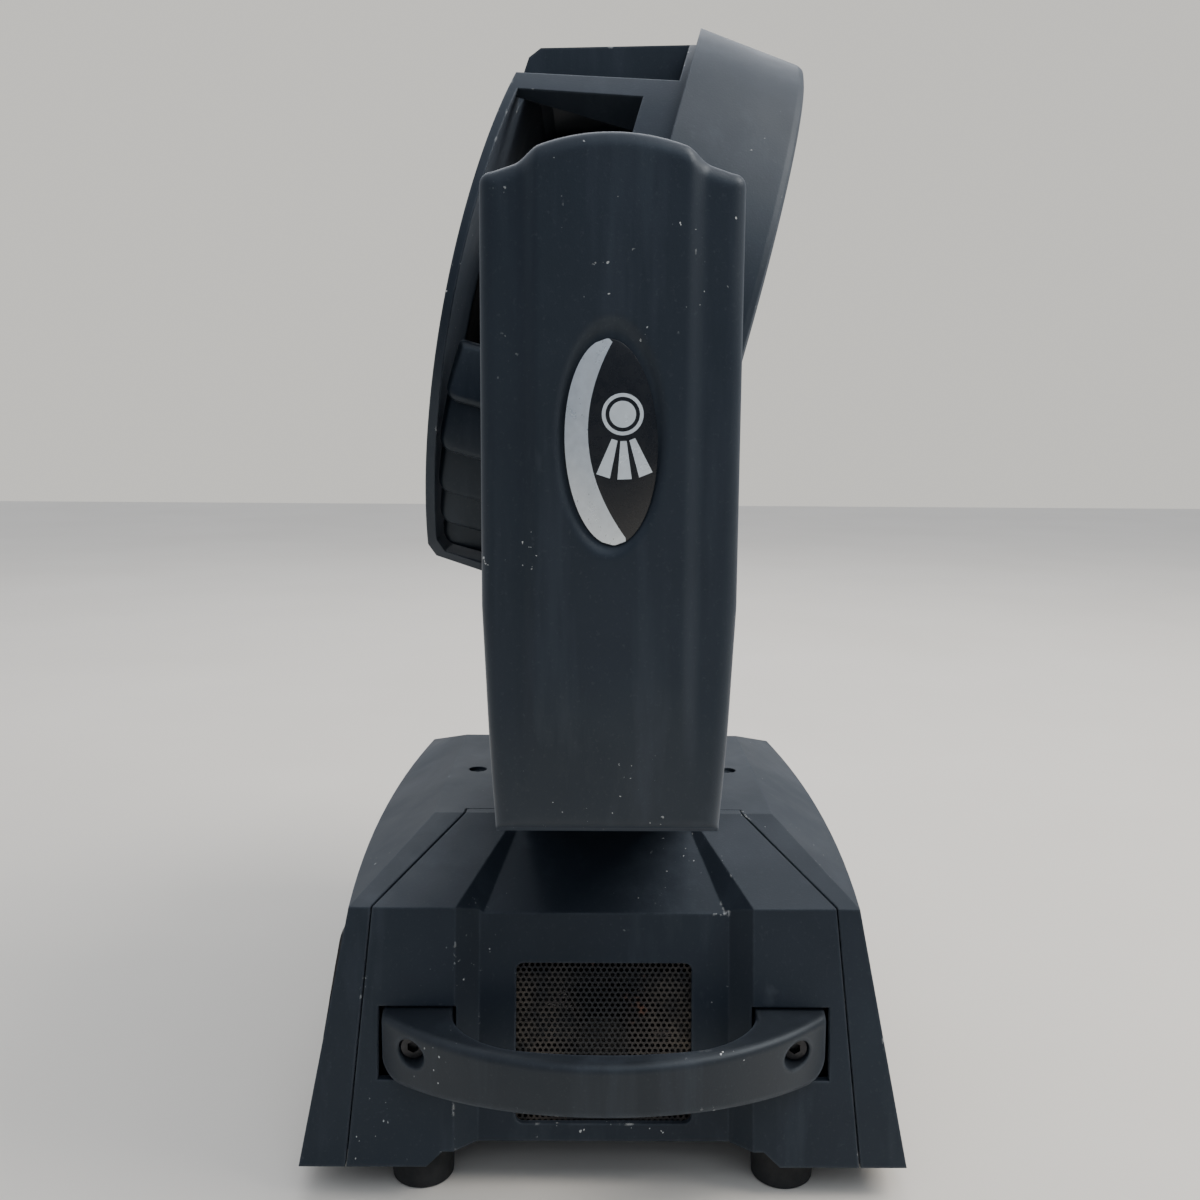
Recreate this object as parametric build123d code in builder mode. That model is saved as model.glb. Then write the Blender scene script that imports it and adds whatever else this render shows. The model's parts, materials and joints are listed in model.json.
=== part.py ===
from build123d import *
from math import acos, cos, radians, sin
import os

# LED moving head light, millimetres.
# Origin: floor level on the pan axis. +Z is up, X is the tilt axis, the display faces -Y.

# --- driving dimensions -------------------------------------------------------------------
# base envelope: half sizes at the bottom, at the ridge and on the top plateau
BOTTOM_Z, BOTTOM_X, BOTTOM_Y = 12.5, 139.5, 113.5
RIDGE_Z, RIDGE_X, RIDGE_Y = 107.0, 123.3, 96.1
PLATEAU_Z, PLATEAU_X, PLATEAU_Y = 125.0, 65.0, 71.0
END_BOW = 6.5            # how far the two end walls bulge at their middle
WALL = 3.0               # moulded wall thickness of the base
SEAM = 0.3               # half width of the joint line between base mouldings

# side cover: half widths of the seam lines, and the channel pressed into it
COVER_Y_BOTTOM, COVER_Y_RIDGE, COVER_Y_TOP = 96.0, 87.5, 58.0
COVER_END_X = 60.0
CHANNEL_Y, CHANNEL_FLOOR_Y, CHANNEL_DEPTH = 56.0, 47.5, 7.0
CHANNEL_TOP_Y, CHANNEL_TOP_FLOOR_Y, CHANNEL_TOP_DEPTH = 34.5, 33.0, 1.2
WINDOW_W, WINDOW_H, WINDOW_MID = 67.0, 60.4, 43.5

# carrying handles
POCKET_Y0, POCKET_Y1, POCKET_Z0, POCKET_Z1 = 55.5, 84.5, 44.0, 71.0
HANDLE_TOP, HANDLE_MID_BOTTOM, HANDLE_END_BOTTOM = 69.6, 50.9, 46.6
HANDLE_REACH, HANDLE_BAR, HANDLE_END_Y = 170.0, 10.0, 82.5
HANDLE_END_X, HANDLE_CORNER_R = 134.0, 7.0
HANDLE_SCREW_Y, HANDLE_SCREW_Z, HANDLE_SEAT_X = 70.0, 60.6, 136.0
SCREW_HEAD_R, SCREW_HEAD_T, SCREW_BORE_R = 4.4, 4.4, 5.3

# chassis tray and feet
TRAY_Z, TRAY_T = 16.0, 2.0
FLANGE_X, FLANGE_TOP = 115.0, 78.0
FOOT_X, FOOT_Y, FOOT_R = 123.0, 69.3, 12.6
CLAMP_X, CLAMP_Y, CLAMP_HOLE_R = 53.0, 60.0, 4.25
SAFETY_HOLE_R = 7.0
NECK_HOLE_R, SHELL_SCREW_Y = 36.0, 59.0

# display end, connector end and electronics
PLATE_T = 2.0
BEZEL = (112.0, 50.0, 48.0)      # width, height and centre height of the display bezel
SCREEN_W, SCREEN_H, SCREEN_Y = 62.0, 20.0, BEZEL[2] + 9.0
BUTTONS, BUTTON_Y, BUTTON_R = (-33.0, -11.0, 11.0, 33.0), BEZEL[2] - 13.0, 4.5
PANEL = (170.0, 48.0, 44.0)      # width, height and centre height of the connector panel
INLET_X, FUSE_X, DMX_IN_X, DMX_OUT_X = 58.0, 22.0, -20.0, -58.0
PSU_X, PSU_Y, FAN_Z = -15.0, 57.0, 48.0

# pan drive
SHAFT_R, SHAFT_BORE = 25.0, 18.0
RUN_GAP = 0.05           # radial clearance of the running fits
BRIDGE_Z, BRIDGE_T, BRIDGE_X, BRIDGE_Y = 84.0, 3.0, 92.0, 32.0
PAN_PULLEY_R, PINION_R, PAN_CENTRES = 38.0, 8.0, 68.0
BELT_GAP, BELT_T = 0.35, 1.5

# yoke
YOKE_BOTTOM, YOKE_TOP = 131.0, 168.0
ARM_OUT, ARM_IN, ARM_HALF_Y, ARM_LOW_HALF_Y = 188.0, 145.0, 40.0, 36.5
ARM_SHOULDER_Z, ARM_TOP_Z, ARM_BEND_Z, ARM_FOOT_X, ARM_FOOT_Z = 361.0, 372.0, 195.0, 178.0, 155.5
ARM_WALL = 2.5
ARM_SPLIT, CROSS_SPLIT_X, CROSS_SPLIT_Z = 166.0, 122.0, 151.0
FRAME_X, FRAME_T, FRAME_FLOOR_Z = 158.0, 3.0, 134.0
TILT_Z = 318.0
TRUNNION_R = 12.45
TILT_PULLEY_R, TILT_CENTRES = 30.0, 95.0
BADGE_Z, BADGE_RY, BADGE_RZ, BADGE_RECESS = 281.0, 14.0, 30.5, 1.4

# head, measured from the tilt axis: "forward" along the beam
HEAD_TILT = 15.2         # degrees below the horizontal at rest
RING_REAR, RING_FRONT, RING_REAR_R, RING_FRONT_R, RING_WALL = 2.4, 46.6, 139.2, 136.0, 3.0
LIP_R = 126.0
DRUM_R, DRUM_TAPER, DRUM_WALL = 135.6, 0.25, 3.0
DRUM_RIM = 3.4           # width of the rim left behind the side windows
WINDOW_FRONT = -11.0     # where the windows end in front
SLOT_FRONT = 0.0         # where the two top slots end in front
SIDE_WINDOW = (49.5, 141.0)      # angles from straight up
RIB = (44.5, 49.5)       # the rib above each side window
RIB_CLEAR_R = 121.0      # inside radius of the ribs beside the head frame
SPINE_X = 65.0           # half width of the raised flat top of the rear shell
LOUVRE_COUNT, LOUVRE_START, LOUVRE_PITCH = 4, 100.0, 9.75
LOUVRE_BACK, LOUVRE_LONG = -44.0, 23.0
LENS_RINGS = ((33.0, 6), (66.0, 12), (99.0, 18))
LENS_R, BOARD_FRONT = 12.9, 31.6
FIN_COUNT = 36

os.makedirs("parts", exist_ok=True)


def save(builder, name):
    """Label a finished piece and write its STEP file."""
    builder.part.label = name
    export_step(builder.part, f"parts/{name}.step")


def side_name(name, side):
    return f"{name}_left" if side < 0 else f"{name}_right"


# --- reference planes ---------------------------------------------------------------------
END_LEAN = (BOTTOM_Y - RIDGE_Y) / (RIDGE_Z - BOTTOM_Z)
FRONT_PLANE = Plane((0, -BOTTOM_Y - END_BOW, BOTTOM_Z), x_dir=(1, 0, 0), z_dir=(0, -1, END_LEAN))
REAR_PLANE = Plane((0, BOTTOM_Y + END_BOW, BOTTOM_Z), x_dir=(-1, 0, 0), z_dir=(0, 1, END_LEAN))
SIDE_LEAN = (BOTTOM_X - RIDGE_X) / (RIDGE_Z - BOTTOM_Z)
WALL_PLANE = Plane((-BOTTOM_X, 0, BOTTOM_Z), x_dir=(0, -1, 0), z_dir=(-1, 0, SIDE_LEAN))

TILT = radians(HEAD_TILT)
AXIS_POINT = (0, 0, TILT_Z)
FORWARD = (0, -cos(TILT), -sin(TILT))
HEAD = Plane(AXIS_POINT, x_dir=(1, 0, 0), z_dir=FORWARD)          # x = X, y = up, z = forward
HEAD_SIDE = Plane(AXIS_POINT, x_dir=FORWARD, z_dir=(-1, 0, 0))    # x = forward, y = up
BEAM_AXIS = Axis(AXIS_POINT, FORWARD)


# --- base mouldings -----------------------------------------------------------------------
def bowed_outline(half_x, half_y, bow):
    """Rectangle whose two ends (towards +Y and -Y) are shallow arcs."""
    with BuildSketch() as outline:
        with BuildLine():
            Line((-half_x, -half_y), (-half_x, half_y))
            ThreePointArc((-half_x, half_y), (0, half_y + bow), (half_x, half_y))
            Line((half_x, half_y), (half_x, -half_y))
            ThreePointArc((half_x, -half_y), (0, -half_y - bow), (-half_x, -half_y))
        make_face()
    return outline.sketch


def base_envelope(inset):
    """The faceted outer form of the base, shrunk by inset on every side."""
    with BuildPart() as form:
        with BuildSketch(Plane.XY.offset(BOTTOM_Z - inset)):
            add(bowed_outline(BOTTOM_X - inset, BOTTOM_Y - inset, END_BOW))
        with BuildSketch(Plane.XY.offset(RIDGE_Z)):
            add(bowed_outline(RIDGE_X - inset, RIDGE_Y - inset, END_BOW))
        loft(ruled=True)
        with BuildSketch(Plane.XY.offset(RIDGE_Z)):
            add(bowed_outline(RIDGE_X - inset, RIDGE_Y - inset, END_BOW))
        with BuildSketch(Plane.XY.offset(PLATEAU_Z - inset)):
            add(bowed_outline(PLATEAU_X - inset / 2, PLATEAU_Y - inset / 2, 0.5))
        loft(ruled=True)
    return form.part


def cover_wedge(grow):
    """The space between the two seam lines, on the -X side."""
    slope = (COVER_Y_RIDGE - COVER_Y_TOP) / (PLATEAU_Z - RIDGE_Z)
    over = 4.0
    low = COVER_Y_BOTTOM + (COVER_Y_BOTTOM - COVER_Y_RIDGE) * BOTTOM_Z / (RIDGE_Z - BOTTOM_Z)
    half = [(low + grow, 0), (COVER_Y_RIDGE + grow, RIDGE_Z)]
    half.append((COVER_Y_TOP + grow - slope * over, PLATEAU_Z + over))
    outline = half + [(-y, z) for y, z in reversed(half)]
    with BuildPart() as wedge:
        with BuildSketch(Plane.YZ.offset(-BOTTOM_X - 10)):
            with BuildLine():
                Polyline(*outline, close=True)
            make_face()
        extrude(amount=BOTTOM_X + 10 - COVER_END_X + grow)
    return wedge.part


def channel_section(surface, inward, half, floor_half, depth):
    """Trapezoid across the channel: open outside the surface, narrow at its floor."""
    over = 6.0
    flare = half + over * (half - floor_half) / depth
    outside = surface - inward * over
    inside = surface + inward * depth
    return [(outside, flare), (inside, floor_half), (inside, -floor_half), (outside, -flare)]


def channel(grow):
    """Channel running down the side wall and up the facet, grown to leave a wall inside it."""
    low_z, high_z = 0.0, RIDGE_Z + 12
    with BuildPart() as cut:
        for z in (low_z, high_z):
            surface = -BOTTOM_X + (z - BOTTOM_Z) * SIDE_LEAN
            points = channel_section(surface, 1, CHANNEL_Y + grow, CHANNEL_FLOOR_Y + grow,
                                     CHANNEL_DEPTH + grow)
            with BuildSketch(Plane.XY.offset(z)):
                with BuildLine():
                    Polyline(*points, close=True)
                make_face()
        loft(ruled=True)
        rise = (PLATEAU_Z - RIDGE_Z) / (RIDGE_X - PLATEAU_X)
        span = RIDGE_X - COVER_END_X
        for share in (-0.2, 1.05):
            x = -RIDGE_X + share * span
            half = CHANNEL_Y + share * (CHANNEL_TOP_Y - CHANNEL_Y) + grow
            floor_half = CHANNEL_FLOOR_Y + share * (CHANNEL_TOP_FLOOR_Y - CHANNEL_FLOOR_Y) + grow
            depth = CHANNEL_DEPTH + share * (CHANNEL_TOP_DEPTH - CHANNEL_DEPTH) + grow
            surface = RIDGE_Z + share * span * rise
            points = [(y, z) for z, y in channel_section(surface, -1, half, floor_half, depth)]
            with BuildSketch(Plane.YZ.offset(x)):
                with BuildLine():
                    Polyline(*points, close=True)
                make_face()
        loft(ruled=True)
    return cut.part


def make_base_shell(envelope, hollow):
    wedge = cover_wedge(SEAM)
    with BuildPart() as base_shell:
        add(envelope)
        add(hollow, mode=Mode.SUBTRACT)
        add(wedge, mode=Mode.SUBTRACT)
        add(wedge.mirror(Plane.YZ), mode=Mode.SUBTRACT)
        with BuildSketch(Plane.XY.offset(PLATEAU_Z + 1)):
            Circle(NECK_HOLE_R)
        extrude(amount=-WALL - 4, mode=Mode.SUBTRACT)
        with Locations((0, SHELL_SCREW_Y, PLATEAU_Z), (0, -SHELL_SCREW_Y, PLATEAU_Z)):
            CounterBoreHole(radius=2.2, counter_bore_radius=4.2, counter_bore_depth=1.6, depth=8)
        for plane, size in ((FRONT_PLANE, BEZEL), (REAR_PLANE, PANEL)):
            width, height, middle = size
            with BuildSketch(plane.offset(-PLATE_T)):
                with Locations((0, middle)):
                    RectangleRounded(width + 0.6, height + 0.6, 4.3)
            extrude(amount=10, mode=Mode.SUBTRACT)
            with BuildSketch(plane.offset(-12)):
                with Locations((0, middle)):
                    RectangleRounded(width - 6, height - 6, 2)
            extrude(amount=12, mode=Mode.SUBTRACT)
    save(base_shell, "base_shell")


def make_side_cover(side, envelope, hollow):
    inner = hollow - channel(WALL)
    with BuildPart() as cover:
        add(envelope)
        add(cover_wedge(-SEAM), mode=Mode.INTERSECT)
        add(inner, mode=Mode.SUBTRACT)
        add(channel(0), mode=Mode.SUBTRACT)
        # grille window in the channel floor
        with BuildSketch(WALL_PLANE.offset(-CHANNEL_DEPTH - 6)):
            with Locations((0, WINDOW_MID)):
                RectangleRounded(WINDOW_W, WINDOW_H, 3)
        extrude(amount=12, mode=Mode.SUBTRACT)
        # openings for the two handle ends
        for sign in (-1, 1):
            middle = (POCKET_Y0 + POCKET_Y1) / 2
            with Locations((-BOTTOM_X + 5, sign * middle, (POCKET_Z0 + POCKET_Z1) / 2)):
                Box(40, POCKET_Y1 - POCKET_Y0, POCKET_Z1 - POCKET_Z0, mode=Mode.SUBTRACT)
        # raised lower edge between the corner blocks
        with BuildSketch(Plane.YZ.offset(-BOTTOM_X - 5)):
            Polygon((-66, 0), (-66, BOTTOM_Z), (-60, BOTTOM_Z + 5.5), (60, BOTTOM_Z + 5.5),
                    (66, BOTTOM_Z), (66, 0), align=None)
        extrude(amount=40, mode=Mode.SUBTRACT)
        if side > 0:
            mirror(about=Plane.YZ, mode=Mode.REPLACE)
    save(cover, side_name("side_cover", side))


def make_side_grille(side):
    """Flat ventilation sheet behind the window, parallel to the leaning wall."""
    with BuildPart() as grille:
        with BuildSketch(WALL_PLANE.offset(-CHANNEL_DEPTH - WALL - 1.1)):
            with Locations((0, WINDOW_MID)):
                RectangleRounded(WINDOW_W + 8, WINDOW_H + 8, 3)
                with GridLocations(6, 6, 11, 10):
                    Circle(2.2, mode=Mode.SUBTRACT)
        extrude(amount=1)
        if side > 0:
            mirror(about=Plane.YZ, mode=Mode.REPLACE)
    save(grille, side_name("side_grille", side))


def handle_underside():
    """Cutter under the bar: its underside rises towards the middle and its end corners are round."""
    low, high = HANDLE_END_BOTTOM, HANDLE_END_BOTTOM + HANDLE_CORNER_R
    start = HANDLE_END_Y - HANDLE_CORNER_R
    notch = HANDLE_CORNER_R * (1 - cos(radians(45)))
    with BuildPart() as cutter:
        with BuildSketch(Plane.YZ.offset(-HANDLE_REACH - 5)):
            with BuildLine():
                ThreePointArc((-start, low), (0, HANDLE_MID_BOTTOM), (start, low))
                ThreePointArc((start, low), (HANDLE_END_Y - notch, low + notch), (HANDLE_END_Y, high))
                Polyline((HANDLE_END_Y, high), (HANDLE_END_Y + 2, high), (HANDLE_END_Y + 2, 40),
                         (-HANDLE_END_Y - 2, 40), (-HANDLE_END_Y - 2, high), (-HANDLE_END_Y, high))
                ThreePointArc((-HANDLE_END_Y, high), (notch - HANDLE_END_Y, low + notch), (-start, low))
            make_face()
        extrude(amount=60)
    return cutter.part


def make_handle(side):
    """Arched grab bar with two thick ends that pass through the side cover."""
    inner_x = HANDLE_REACH - HANDLE_BAR
    end_x = HANDLE_END_X
    with BuildPart() as handle:
        with BuildSketch(Plane.XY.offset(HANDLE_END_BOTTOM)):
            with BuildLine():
                ThreePointArc((-end_x, -HANDLE_END_Y), (-HANDLE_REACH, 0), (-end_x, HANDLE_END_Y))
                Line((-end_x, HANDLE_END_Y), (-FLANGE_X, HANDLE_END_Y))
                Line((-FLANGE_X, HANDLE_END_Y), (-FLANGE_X, 57))
                Line((-FLANGE_X, 57), (-130, 57))
                bend = ThreePointArc((-130, 57), (-148, 47.5), (-156.8, 32.3))
                middle = ThreePointArc(bend @ 1, (-inner_x, 0), (-156.8, -32.3))
                ThreePointArc(middle @ 1, (-148, -47.5), (-130, -57))
                Line((-130, -57), (-FLANGE_X, -57))
                Line((-FLANGE_X, -57), (-FLANGE_X, -HANDLE_END_Y))
                Line((-FLANGE_X, -HANDLE_END_Y), (-end_x, -HANDLE_END_Y))
            make_face()
        extrude(amount=HANDLE_TOP - HANDLE_END_BOTTOM)
        add(handle_underside(), mode=Mode.SUBTRACT)
        rim = handle.edges().filter_by_position(Axis.X, -HANDLE_REACH, -143).group_by(Axis.Z)[-1]
        fillet(rim, radius=3)
        with Locations(*[Plane((-HANDLE_REACH, sign * HANDLE_SCREW_Y, HANDLE_SCREW_Z),
                               z_dir=(-1, 0, 0)) for sign in (-1, 1)]):
            CounterBoreHole(radius=2.8, counter_bore_radius=SCREW_BORE_R,
                            counter_bore_depth=HANDLE_REACH - HANDLE_SEAT_X, depth=60)
        if side > 0:
            mirror(about=Plane.YZ, mode=Mode.REPLACE)
    save(handle, side_name("handle", side))


def make_handle_screws():
    """Four socket-head screws that hold the handles to the chassis tray."""
    with BuildPart() as screws:
        for side in (-1, 1):
            for sign in (-1, 1):
                face = Plane((side * HANDLE_SEAT_X, sign * HANDLE_SCREW_Y, HANDLE_SCREW_Z),
                             z_dir=(side, 0, 0))
                with BuildSketch(face):
                    Circle(SCREW_HEAD_R)
                extrude(amount=SCREW_HEAD_T)
                with BuildSketch(face):
                    Circle(2.5)
                extrude(amount=-(HANDLE_SEAT_X - FLANGE_X + 8))
                with BuildSketch(face.offset(SCREW_HEAD_T - 2.8)):
                    RegularPolygon(2.3, 6)
                extrude(amount=3, mode=Mode.SUBTRACT)
    save(screws, "handle_screws")


# --- chassis ------------------------------------------------------------------------------


def make_chassis_tray():
    """Bent steel floor with two upright flanges that carry the handles and the fan."""
    with BuildPart() as tray:
        with BuildSketch(Plane.XY.offset(TRAY_Z)):
            add(bowed_outline(134.0, 108.0, END_BOW))
            with Locations((-134, 0), (134, 0)):
                Rectangle(14, 2 * CHANNEL_Y + 14, mode=Mode.SUBTRACT)
        extrude(amount=TRAY_T)
        for side in (-1, 1):
            with BuildSketch(Plane.YZ.offset(side * FLANGE_X)):
                with Locations((0, (TRAY_Z + FLANGE_TOP) / 2)):
                    Rectangle(2 * 86, FLANGE_TOP - TRAY_Z)
                with Locations((0, FAN_Z)):
                    Circle(27, mode=Mode.SUBTRACT)
                with Locations((-HANDLE_SCREW_Y, HANDLE_SCREW_Z), (HANDLE_SCREW_Y, HANDLE_SCREW_Z)):
                    Circle(2.6, mode=Mode.SUBTRACT)
            extrude(amount=-side * TRAY_T)
        # clamp bracket holes and the safety cable hole
        with Locations((0, 0, TRAY_Z)):
            with GridLocations(2 * CLAMP_X, 2 * CLAMP_Y, 2, 2):
                Cylinder(CLAMP_HOLE_R, 10, mode=Mode.SUBTRACT)
            Cylinder(SAFETY_HOLE_R, 10, mode=Mode.SUBTRACT)
        with Locations((0, 0, TRAY_Z)):
            with GridLocations(2 * FOOT_X, 2 * FOOT_Y, 2, 2):
                Cylinder(2.1, 10, mode=Mode.SUBTRACT)
    save(tray, "chassis_tray")


def make_feet():
    """Four tapered rubber feet with a screw recess."""
    with BuildPart() as feet:
        with GridLocations(2 * FOOT_X, 2 * FOOT_Y, 2, 2):
            Cone(FOOT_R - 1, FOOT_R, TRAY_Z, align=(Align.CENTER, Align.CENTER, Align.MIN))
        fillet(feet.edges().group_by(Axis.Z)[0], radius=1.5)
        with GridLocations(2 * FOOT_X, 2 * FOOT_Y, 2, 2):
            Cylinder(4, 12, mode=Mode.SUBTRACT)
    save(feet, "rubber_feet")


def make_pan_bridge():
    """Steel bridge that carries the pan bearing and the pan motor."""
    floor, outside = TRAY_Z + TRAY_T, BRIDGE_X + BRIDGE_T
    outer = [(-80, floor), (-outside, floor), (-outside, BRIDGE_Z + BRIDGE_T)]
    outer += [(-x, z) for x, z in reversed(outer)]
    inner = [(80, floor + BRIDGE_T), (BRIDGE_X, floor + BRIDGE_T), (BRIDGE_X, BRIDGE_Z)]
    inner += [(-x, z) for x, z in reversed(inner)]
    with BuildPart() as bridge:
        with BuildSketch(Plane.XZ.offset(-BRIDGE_Y)):
            with BuildLine():
                Polyline(*outer, *inner, close=True)
            make_face()
        extrude(amount=2 * BRIDGE_Y)
        with BuildSketch(Plane.XY.offset(BRIDGE_Z - 1)):
            Circle(SHAFT_R + 3)
            with Locations((PAN_CENTRES, 0)):
                Circle(12)
        extrude(amount=BRIDGE_T + 2, mode=Mode.SUBTRACT)
    save(bridge, "pan_bridge")


def make_pan_bearing():
    with BuildPart() as bearing:
        with BuildSketch(Plane.XY.offset(BRIDGE_Z)):
            Circle(40)
            Circle(SHAFT_R + RUN_GAP, mode=Mode.SUBTRACT)
        extrude(amount=-4)
        with BuildSketch(Plane.XY.offset(BRIDGE_Z - 4)):
            Circle(33)
            Circle(SHAFT_R + RUN_GAP, mode=Mode.SUBTRACT)
        extrude(amount=-9)
    save(bearing, "pan_bearing")


def make_pan_shaft():
    """Hollow shaft under the yoke, with the flange that bolts to the yoke frame."""
    with BuildPart() as shaft:
        with BuildSketch(Plane.XY.offset(FRAME_FLOOR_Z)):
            Circle(33)
        extrude(amount=-5)
        with BuildSketch(Plane.XY.offset(FRAME_FLOOR_Z - 5)):
            Circle(SHAFT_R)
        extrude(amount=-(FRAME_FLOOR_Z - 5 - 66))
        with BuildSketch(Plane.XY.offset(60)):
            Circle(SHAFT_BORE)
        extrude(amount=90, mode=Mode.SUBTRACT)
    save(shaft, "pan_shaft")


def toothed_wheel(radius, height, bore, teeth, plane, rims):
    """Timing pulley: shallow round tooth gaps on the rim, with flanges when rims is true."""
    with BuildPart() as wheel:
        with BuildSketch(plane):
            Circle(radius)
            with PolarLocations(radius + 0.4, teeth):
                Circle(0.9, mode=Mode.SUBTRACT)
            Circle(bore, mode=Mode.SUBTRACT)
        extrude(amount=height)
        if rims:
            for level in (-1.2, height):
                with BuildSketch(plane.offset(level)):
                    Circle(radius + BELT_GAP + BELT_T + 0.8)
                    Circle(bore, mode=Mode.SUBTRACT)
                extrude(amount=1.2)
    return wheel


def belt_outline(big, small, centres):
    """Outer line of a belt round two wheels, the small one at x = centres."""
    lap = acos((big - small) / centres)
    Circle(big)
    with Locations((centres, 0)):
        Circle(small)
    corners = [(big * cos(lap), big * sin(lap)), (centres + small * cos(lap), small * sin(lap))]
    corners += [(x, -y) for x, y in reversed(corners)]
    Polygon(*corners, align=None)


def make_belt(name, plane, big, small, centres, width):
    with BuildPart() as belt:
        with BuildSketch(plane):
            belt_outline(big + BELT_GAP + BELT_T, small + BELT_GAP + BELT_T, centres)
        extrude(amount=width)
        with BuildSketch(plane.offset(-1)):
            belt_outline(big + BELT_GAP, small + BELT_GAP, centres)
        extrude(amount=width + 2, mode=Mode.SUBTRACT)
    save(belt, name)


def make_motor(name, plane, length, shaft):
    """Square stepper motor: body behind the plane, boss and shaft in front of it."""
    with BuildPart() as motor:
        with BuildSketch(plane):
            RectangleRounded(42, 42, 5)
        extrude(amount=-length)
        with BuildSketch(plane):
            Circle(10.8)
        extrude(amount=1.8)
        with BuildSketch(plane):
            Circle(2.5)
        extrude(amount=shaft)
        with BuildSketch(plane):
            with GridLocations(31, 31, 2, 2):
                Circle(1.5)
        extrude(amount=-5, mode=Mode.SUBTRACT)
    save(motor, name)


def make_pan_drive():
    wheel_plane = Plane.XY.offset(92)
    save(toothed_wheel(PAN_PULLEY_R, 7, SHAFT_R + 0.02, 96, wheel_plane, False), "pan_pulley")
    pinion_plane = Plane((PAN_CENTRES, 0, 92))
    save(toothed_wheel(PINION_R, 7, 2.5 + RUN_GAP, 20, pinion_plane, True), "pan_pinion")
    make_belt("pan_belt", Plane.XY.offset(92.5), PAN_PULLEY_R, PINION_R, PAN_CENTRES, 6)
    make_motor("pan_motor", Plane((PAN_CENTRES, 0, BRIDGE_Z)), 40, 17)


def make_fan(prefix, plane, size, depth, blades):
    """Axial fan: square frame with a duct, and a bladed rotor on its hub."""
    duct = size / 2 - 1.5
    hub = size * 0.17
    with BuildPart() as frame:
        with BuildSketch(plane):
            RectangleRounded(size, size, 3)
            Circle(duct, mode=Mode.SUBTRACT)
            with GridLocations(size - 9, size - 9, 2, 2):
                Circle(2, mode=Mode.SUBTRACT)
        extrude(amount=depth)
        with BuildSketch(plane):
            Circle(hub)
            with Locations((0, 0)):
                Rectangle(2 * duct + 1, 3.5)
                Rectangle(3.5, 2 * duct + 1)
        extrude(amount=2)
    save(frame, f"{prefix}_frame")
    with BuildPart() as rotor:
        with BuildSketch(plane.offset(3)):
            Circle(hub)
        extrude(amount=depth - 4)
        for index in range(blades):
            turn = plane * Rot(0, 0, 360 / blades * index) * Pos(0, hub - 1, depth / 2 + 0.5)
            with BuildSketch(turn * Rot(-90, 0, 0) * Rot(0, 0, 38)):
                Rectangle(size * 0.20, 1.4)
            extrude(amount=duct - 1.5 - hub + 1)
    save(rotor, f"{prefix}_rotor")


def make_power_supply():
    with BuildPart() as supply:
        with Locations((PSU_X, PSU_Y, TRAY_Z + TRAY_T + 16)):
            Box(128, 56, 32)
        with BuildSketch(Plane((PSU_X, PSU_Y, TRAY_Z + TRAY_T + 32))):
            with GridLocations(11, 11, 9, 4):
                SlotOverall(8, 3)
        extrude(amount=-1.2, mode=Mode.SUBTRACT)
    save(supply, "power_supply")


def make_control_board():
    floor = TRAY_Z + TRAY_T
    with BuildPart() as board:
        with BuildSketch(Plane((0, -64, floor + 7))):
            RectangleRounded(150, 56, 2)
        extrude(amount=1.6)
        with BuildSketch(Plane((0, -64, floor))):
            with GridLocations(140, 46, 2, 2):
                Circle(3)
        extrude(amount=7)
        with BuildSketch(Plane((0, -64, floor + 8.6))):
            with GridLocations(38, 0, 4, 1):
                Rectangle(14, 9)
            with Locations((0, 18)):
                Rectangle(96, 7)
        extrude(amount=4)
    save(board, "control_board")


# --- display and buttons ------------------------------------------------------------------


def make_display():
    width, height, middle = BEZEL
    with BuildPart() as bezel:
        with BuildSketch(FRONT_PLANE.offset(-PLATE_T)):
            with Locations((0, middle)):
                RectangleRounded(width, height, 4)
            with Locations((0, SCREEN_Y)):
                RectangleRounded(SCREEN_W, SCREEN_H, 1, mode=Mode.SUBTRACT)
            with Locations(*[(x, BUTTON_Y) for x in BUTTONS]):
                Circle(BUTTON_R + 0.4, mode=Mode.SUBTRACT)
        extrude(amount=PLATE_T + 0.6)
    save(bezel, "display_bezel")
    with BuildPart() as window:
        with BuildSketch(FRONT_PLANE.offset(-PLATE_T - 1.6)):
            with Locations((0, SCREEN_Y)):
                RectangleRounded(SCREEN_W + 8, SCREEN_H + 4, 2)
        extrude(amount=1.6)
        with BuildSketch(FRONT_PLANE.offset(-PLATE_T)):
            with Locations((0, SCREEN_Y)):
                RectangleRounded(SCREEN_W - 0.4, SCREEN_H - 0.4, 1)
        extrude(amount=1.6)
    save(window, "display_window")
    with BuildPart() as board:
        with BuildSketch(FRONT_PLANE.offset(-PLATE_T - 10)):
            with Locations((0, middle)):
                RectangleRounded(width - 10, height - 8, 1)
        extrude(amount=1.6)
        with BuildSketch(FRONT_PLANE.offset(-PLATE_T - 8.4)):
            with Locations((0, SCREEN_Y)):
                Rectangle(50, 15)
        extrude(amount=6)
        with BuildSketch(FRONT_PLANE.offset(-PLATE_T - 8.4)):
            with Locations(*[(x, BUTTON_Y) for x in BUTTONS]):
                Rectangle(6, 6)
        extrude(amount=3)
    save(board, "display_board")
    for number, x in enumerate(BUTTONS, start=1):
        with BuildPart() as button:
            with BuildSketch(FRONT_PLANE.offset(-PLATE_T - 1.4)):
                with Locations((x, BUTTON_Y)):
                    Circle(BUTTON_R)
            extrude(amount=PLATE_T + 3.6)
            fillet(button.faces().sort_by(Axis.Y)[0].edges(), radius=0.8)
            with BuildSketch(FRONT_PLANE.offset(-PLATE_T - 1.8)):
                with Locations((x, BUTTON_Y)):
                    Circle(BUTTON_R + 1.6)
            extrude(amount=1.4)
        save(button, f"button_{number}")


# --- connector panel ----------------------------------------------------------------------


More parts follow.
